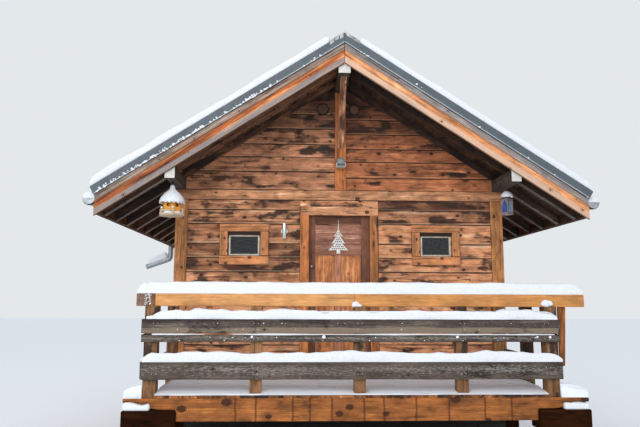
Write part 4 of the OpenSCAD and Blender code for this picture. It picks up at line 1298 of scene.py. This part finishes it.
def moulded_plastic(name, dull, bright):
    # ABS housing with a fine moulded grain, a little yellowed.
    s = Surface(name, roughness=0.5)
    aged = s.ramp(s.cloud(20.0, 4.0), (0.35, dull), (0.65, bright))
    return s.coat(aged, height=s.cloud(500.0, 1.0), strength=0.3, depth=0.0005)


def dark_lens():
    # Ribbed glass over an unlit lamp: nearly black, glossy, in ribs 8 mm apart.
    s = Surface("dark_ribbed_lens", base_color="#2b2c2c", roughness=0.15, ior=1.5)
    return s.coat(height=s.add("TexWave", {"Vector": s.place(), "Scale": 20.0}, "Fac"))


def build_gable_light():
    # A box with a dark lens under a domed hood, which is moulded to the box's full width.
    low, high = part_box("gable_light")
    seam = low.z + 0.052
    bm = bmesh.new()
    block(bm, low, (high.x, high.y, seam))
    front = min(bm.faces, key=lambda f: f.calc_center_median().y)
    inset(bm, [front], 0.010, 0.0)
    inset(bm, [front], 0.002, -0.006)
    front.material_index = 1
    ease(bm, [e for e in sharp_edges(bm) if front not in e.link_faces], 0.003, 2)
    silver = moulded_plastic("silver_light_plastic", "#b9bcbc", "#d5d8d8")
    make_piece("gable_light_box", bm, [silver, dark_lens()], "gable_light")
    hood = bmesh.new()
    middle = Vector(((low.x + high.x) / 2, (low.y + high.y) / 2, seam + 0.001))
    half = (high - low) / 2
    bmesh.ops.create_uvsphere(hood, u_segments=40, v_segments=20, radius=1.0)
    bmesh.ops.bisect_plane(
        hood, geom=everything(hood), plane_co=(0, 0, 0), plane_no=(0, 0, 1), clear_inner=True
    )
    bmesh.ops.holes_fill(hood, edges=[e for e in hood.edges if e.is_boundary], sides=0)
    for v in hood.verts:
        v.co.x = math.copysign(abs(v.co.x) ** 0.7, v.co.x)
        v.co.y = math.copysign(abs(v.co.y) ** 0.5, v.co.y)
    size = Matrix.Diagonal((half.x, half.y, high.z - seam - 0.001, 1.0))
    bmesh.ops.transform(hood, matrix=Matrix.Translation(middle) @ size, verts=hood.verts)
    outwards(hood)
    make_piece("gable_light_hood", hood, moulded_plastic("grey_light_plastic", "#6f7474", "#8b9090"),
               "gable_light", smooth=True)


build_wall_lamp()
build_gable_light()


# ---- Birdhouse and lantern ----------------------------------------------------------
# A six-sided wooden birdhouse on a railed tray, painted yellow, and a square lantern
# with one blue and one clear pane. Both hang by a rod under the wall plates, under snow.

def painted_wood(name, colour, worn):
    # Thick matt paint on softwood, rubbed through along the fibres in places.
    s = Surface(name, roughness=0.65)
    fibre = s.cloud((90.0, 90.0, 12.0), 5.0)
    paint = s.mix(s.span(fibre, 0.45, 0.7, 0.5), colour, worn)
    return s.coat(paint, height=fibre, strength=0.4, depth=0.001)


def turned_snow(profile, steps):
    """A cap of snow, turned from the radii and heights of its profile."""
    bm = bmesh.new()
    points = [bm.verts.new((r, 0, z)) for r, z in profile]
    edges = [bm.edges.new(pair) for pair in zip(points, points[1:])]
    bmesh.ops.spin(
        bm, geom=points + edges, cent=(0, 0, 0), axis=(0, 0, 1), angle=2 * math.pi, steps=steps,
        use_merge=True,
    )
    bmesh.ops.remove_doubles(bm, verts=bm.verts, dist=1e-4)
    return bm


def build_birdhouse():
    low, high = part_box("birdhouse")
    axis = Vector(((low.x + high.x) / 2, (low.y + high.y) / 2, low.z))
    tray_top, hood_low, peak = 0.0205, 0.1745, 0.329
    bm = copy_of("birdhouse")
    bm.normal_update()
    for f in bm.faces:
        m = f.calc_center_median() - axis
        out = math.hypot(m.x, m.y)
        if m.z > peak:
            f.material_index = 3
        elif m.z > hood_low - 0.001:
            f.material_index = 2
        elif m.z < tray_top or out > 0.112:
            f.material_index = 1
        # The faces inside the entrance hole are painted near black: painted shade.
        elif 0.1 < m.z < 0.15 and out < 0.1 and abs(f.normal.z) < 0.99 and f.calc_area() < 0.001:
            f.material_index = 4
    make_piece(
        "birdhouse_body", bm,
        [painted_wood("yellow_birdhouse_paint", "#e8a03a", "#c97f2c"),
         painted_wood("bare_tray_boards", "#c9b294", "#9d8566"),
         painted_wood("brown_hood_felt", "#5c4334", "#3f2e25"),
         iron,
         painted_wood("painted_shade_hole_wood", "#2c1d12", "#1c130c")],
        "birdhouse",
    )
    # The snow on the hood ends in a fringe of short icicles.
    cone = turned_snow((
        (0.0, peak + 0.058), (0.016, peak + 0.056), (0.029, peak + 0.035), (0.034, peak + 0.004),
        (0.064, hood_low + 0.130), (0.096, hood_low + 0.1035), (0.137, hood_low + 0.052),
        (0.155, hood_low + 0.006), (0.154, hood_low - 0.014), (0.146, hood_low - 0.014),
        (0.135, hood_low + 0.002), (0.0, hood_low + 0.002),
    ), 72)
    for v in cone.verts:
        angle = math.atan2(v.co.y, v.co.x)
        if v.co.z < hood_low - 0.01:
            v.co.z -= 0.022 * abs(math.sin(9 * angle)) * (0.6 + noise.noise(v.co * 9))
        v.co += Vector((v.co.x, v.co.y, 0)).normalized() * noise.noise(v.co * 22) * 0.004
    # Snow on the tray between its posts, and on three of the posts.
    bmesh.ops.create_cone(
        cone, cap_ends=True, segments=6, radius1=0.150, radius2=0.142, depth=0.024,
        matrix=Matrix.Translation((0, 0, 0.032)) @ Matrix.Rotation(math.radians(46), 4, "Z"),
    )
    for k in (1, 3, 4):
        turn = math.radians(46 + 60 * k)
        spot = Vector((0.145 * math.cos(turn), 0.145 * math.sin(turn), 0.092))
        heap = Matrix.Translation(spot) @ Matrix.Diagonal((1.1, 1.1, 0.8, 1.0))
        bmesh.ops.create_icosphere(cone, subdivisions=2, radius=0.015, matrix=heap)
    bmesh.ops.transform(cone, matrix=Matrix.Translation(axis), verts=cone.verts)
    outwards(cone)
    make_piece("birdhouse_snow", cone, snow, smooth=True)


def stained_glass(name, colour):
    # Coloured glass in a dim lantern: deep colour under a clear gloss, a little wavy.
    s = Surface(name, roughness=0.12, ior=1.5)
    wave = s.cloud(25.0)
    tint = s.scaled(to_linear(colour)[:3], s.span(wave, 0.3, 0.7, 1.25, 0.6))
    return s.coat(tint, height=wave, strength=0.3)


def build_lantern():
    low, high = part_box("lantern")
    axis = Vector(((low.x + high.x) / 2, (low.y + high.y) / 2, low.z))
    base_h, top_z, hood_z, dome_h = 0.030, 0.195, 0.233, 0.062
    bm = copy_of("lantern")
    bm.normal_update()
    for f in bm.faces:
        m = f.calc_center_median() - axis
        out = math.hypot(m.x, m.y)
        if m.z < base_h + 0.001:
            f.material_index = 1
        elif m.z > top_z - 0.001:
            f.material_index = 2
        elif out < 0.049 and abs(f.normal.z) < 0.5:
            f.material_index = 3 if f.normal.x < 0 else 4
    turn = Matrix.Rotation(math.radians(32), 4, "Z")
    # Small gusset plates narrow each pane towards its top.
    for k in range(4):
        for side in (-1, 1):
            inner, outer = (0.006, 0.043) if side > 0 else (-0.043, -0.006)
            verts = block(bm, (inner, 0.0462, top_z - 0.085), (outer, 0.0485, top_z - 0.002))
            for v in verts:
                if v.co.z < top_z - 0.05 and abs(v.co.x) < 0.02:
                    v.co.x = side * 0.0425
            spin = Matrix.Translation(axis) @ turn @ Matrix.Rotation(k * math.pi / 2, 4, "Z")
            bmesh.ops.transform(bm, matrix=spin, verts=verts)
    metal = worn_steel("lantern_post_metal", "#b9a9ab", 0.5)
    make_piece(
        "lantern_body", bm,
        [metal, painted_metal("lantern_base_paint", "#a8958f", "#7d6d68", 0.55),
         painted_metal("lantern_hood_paint", "#5c5343", "#39332a", 0.55),
         stained_glass("blue_lantern_glass", "#3c5fa8"),
         stained_glass("clear_lantern_glass", "#7f97a4")],
        "lantern",
    )
    crown = hood_z + dome_h
    dome = turned_snow((
        (0.0, crown + 0.016), (0.028, crown + 0.012), (0.052, crown - 0.006), (0.070, hood_z + 0.030),
        (0.077, hood_z + 0.006), (0.076, hood_z - 0.010), (0.070, hood_z - 0.008),
        (0.064, hood_z + 0.004), (0.0, hood_z + 0.004),
    ), 40)
    for v in dome.verts:
        if v.co.z < hood_z:
            v.co.z += 0.014 * noise.noise(v.co * 30)
        v.co += Vector((v.co.x, v.co.y, 0)).normalized() * noise.noise(v.co * 30) * 0.004
    bmesh.ops.transform(dome, matrix=Matrix.Translation(axis), verts=dome.verts)
    outwards(dome)
    make_piece("lantern_snow", dome, snow, smooth=True)


build_birdhouse()
build_lantern()


# ---- Deck and railing ---------------------------------------------------------------
# Planks on bearers behind a heavy front beam, carried by cap blocks on square posts,
# with a railing of grey planks nailed to tan posts under a newer handrail.

beam_larch = larch(
    "deck_beam_larch", "#c8803e", "#96592a", "#5e3418", scorch="#36190c", scorched=0.12, knots=0.1,
    streak=1.1, drips=(-1.17, -0.97, -0.606, -0.436, -0.219, 0.10, 0.30, 0.62, 0.95, 1.31, 1.58),
    spread=0.05, mottled=0.8,
)
cap_larch = larch(
    "cap_block_larch", "#42200c", "#2c1508", "#190b04", scorch="#0e0703", scorched=0.25,
    mottled=0.6, gloss=0.04,
)
plank_larch = larch("deck_plank_larch", "#c98a52", "#875431", "#3f2818", spread=0.45, streak=1.3)
tan_larch = larch("rail_post_larch", "#b9895a", "#8c6340", "#5c3e28", scorched=0.35, mottled=0.7)
hand_larch = larch(
    "handrail_larch", "#e8b684", "#d0955c", "#a66e3e", scorched=0, knots=0, streak=0.8, spread=0.07,
    cracked=0.3, mottled=0.35,
)
orange_hand_larch = larch(
    "orange_handrail_larch", "#e6a970", "#c98a4e", "#9c6030", scorched=0, knots=0, streak=0.8,
    spread=0.07, cracked=0.3, mottled=0.35,
)
end_larch = larch("greyed_handrail_larch", "#a8897a", "#7c6052", "#4c382f", scorched=0.25, knots=0.04)
rail_grey = larch(
    "weathered_rail_larch", "#7c6f63", "#50453c", "#2e2721", scorched=0.2, knots=0.04, frosted=0.6,
    spread=0.1, fine=0.9,
)
waney_rail = larch(
    "waney_rail_larch", "#706258", "#453a33", "#2a231e", scorched=0.25, knots=0.04, streak=1.2,
    foot="#96836e", foot_share=0.42, foot_edge=0.04, frosted=0.2, fine=0.9,
)
dress("deck_beam", beam_larch, 71, width=0.008, along=along_x)
dress("beam_caps", cap_larch, 72, width=0.01)
dress("deck_posts", cap_larch, 73, width=0.01)
dress("deck_bearers", cap_larch, 74)
dress("rail_posts", tan_larch, 76, width=0.012, along=along_z)
# The handrail is of two lengths, and a short greyed one returns at its left end.
hand_joint, return_x = 0.016, -1.8
rail = dress("handrails", hand_larch, 77, width=0.006, cuts=(hand_joint,),
             keep=lambda m: m.x > return_x)
repaint(rail, orange_hand_larch, lambda f: f.center.x > hand_joint)
dress("handrails", end_larch, 82, width=0.006, keep=lambda m: m.x < return_x,
      suffix="_left_return")
rail_joints, board_z = (-0.985, 1.10), 0.592
dress("front_rails", rail_grey, 78, wave=0.004, cuts=rail_joints,
      keep=lambda m: m.z < deck_z + board_z)
dress("front_rails", waney_rail, 81, wave=0.004, cuts=rail_joints,
      keep=lambda m: m.z > deck_z + board_z, suffix="_waney")
# The two middle boards reach 45 mm further, across the left corner post.
for name in ("front_rails_timber", "front_rails_waney"):
    for v in bpy.data.objects[name].data.vertices:
        if v.co.x < -1.95 and v.co.z > deck_z + 0.45:
            v.co.x -= 0.045
dress("side_rails", rail_grey, 79, wave=0.004)
dress("rail_slats", beam_larch, 80)


def build_deck_planks():
    low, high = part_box("deck_planks")
    rng = random.Random(75)
    count = 28
    width = (high.x - low.x) / count
    bm = bmesh.new()
    for k in range(count):
        x = low.x + k * width
        near = low.y + rng.uniform(0.0, 0.014)
        block(bm, (x + 0.002, near, low.z), (x + width - 0.002, high.y, high.z))
    ease(bm, bm.edges[:], 0.003, 2)
    season(bm, 75, 0.0006, 0.4, along_y)
    make_piece("deck_planks_laid", bm, plank_larch, "deck_planks")


def build_rail_nails():
    # Two clenched nails where each rail crosses a post.
    low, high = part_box("front_rails")
    bm = bmesh.new()
    for x in (-1.975, -0.98, 0.066, 1.106, 1.97):
        for z in (0.205, 0.262, 0.545, 0.64, 0.70):
            for side in (-0.022, 0.022):
                stud(bm, (x + side, low.y - 0.001, deck_z + z), 0.0055, 0.0035, 0.004)
    make_piece("rail_nails", bm, worn_steel("nail_steel", "#c9c4be", 0.4))


build_deck_planks()
build_rail_nails()


# ---- Studio -------------------------------------------------------------------------
# A plain pale floor, soft light from above and in front, and the camera at the
# photograph's viewpoint: a 35 mm lens 8 m in front of the wall, looking slightly up.

def place_camera():
    yaw, pitch, roll = 0.038, 0.138, 0.003
    camera = bpy.data.objects.new("camera", bpy.data.cameras.new("camera"))
    camera.data.lens = 35.0
    camera.data.sensor_width = 36.0
    level = math.cos(pitch)
    forward = Vector((math.sin(yaw) * level, math.cos(yaw) * level, math.sin(pitch)))
    right = Vector((math.cos(yaw), -math.sin(yaw), 0))
    over = right.cross(forward)
    tilted = right * math.cos(roll) + over * math.sin(roll)
    over = over * math.cos(roll) - right * math.sin(roll)
    turn = Matrix((tilted, over, -forward)).transposed().to_4x4()
    camera.matrix_world = Matrix.Translation(at(-0.584, -8.175, 0.933)) @ turn
    bpy.context.scene.collection.objects.link(camera)
    bpy.context.scene.camera = camera


def build_floor():
    bm = bmesh.new()
    bmesh.ops.create_grid(bm, x_segments=1, y_segments=1, size=60)
    mesh = bpy.data.meshes.new("floor")
    bm.to_mesh(mesh)
    bm.free()
    mesh.materials.append(Surface("pale_floor", base_color="#fbfcfd", roughness=0.9).material)
    floor = bpy.data.objects.new("floor", mesh)
    bpy.context.scene.collection.objects.link(floor)


def light_studio():
    # The world lights the chalet, and is a little brighter where it is seen or mirrored.
    world = bpy.data.worlds.new("studio")
    bpy.context.scene.world = world
    world.use_nodes = True
    tree = world.node_tree
    soft = tree.nodes["Background"]
    soft.inputs["Color"].default_value = to_linear("#e6ecf4")
    soft.inputs["Strength"].default_value = 0.92
    rays = add(tree, "LightPath", {}).node.outputs
    seen = rays["Is Camera Ray"]
    for other in (rays["Is Transmission Ray"], rays["Is Glossy Ray"]):
        seen = add(tree, "Math", {0: seen, 1: other}, operation="MAXIMUM")
    behind = add(tree, "Background", {"Color": "#e4e8eb", "Strength": 1.0})
    both = add(tree, "MixShader", {0: seen, 1: soft.outputs["Background"], 2: behind})
    tree.links.new(both, tree.nodes["World Output"].inputs["Surface"])
    key = bpy.data.lights.new("key", "AREA")
    key.shape = "RECTANGLE"
    key.size = 9.0
    key.size_y = 6.0
    key.energy = 600.0
    lamp = bpy.data.objects.new("key", key)
    lamp.location = (-3.0, -12.0, 8.0)
    lamp.rotation_euler = (Vector((0, 0, 1.5)) - lamp.location).to_track_quat("-Z", "Y").to_euler()
    bpy.context.scene.collection.objects.link(lamp)


place_camera()
build_floor()
light_studio()
bpy.context.scene.view_settings.view_transform = "Standard"
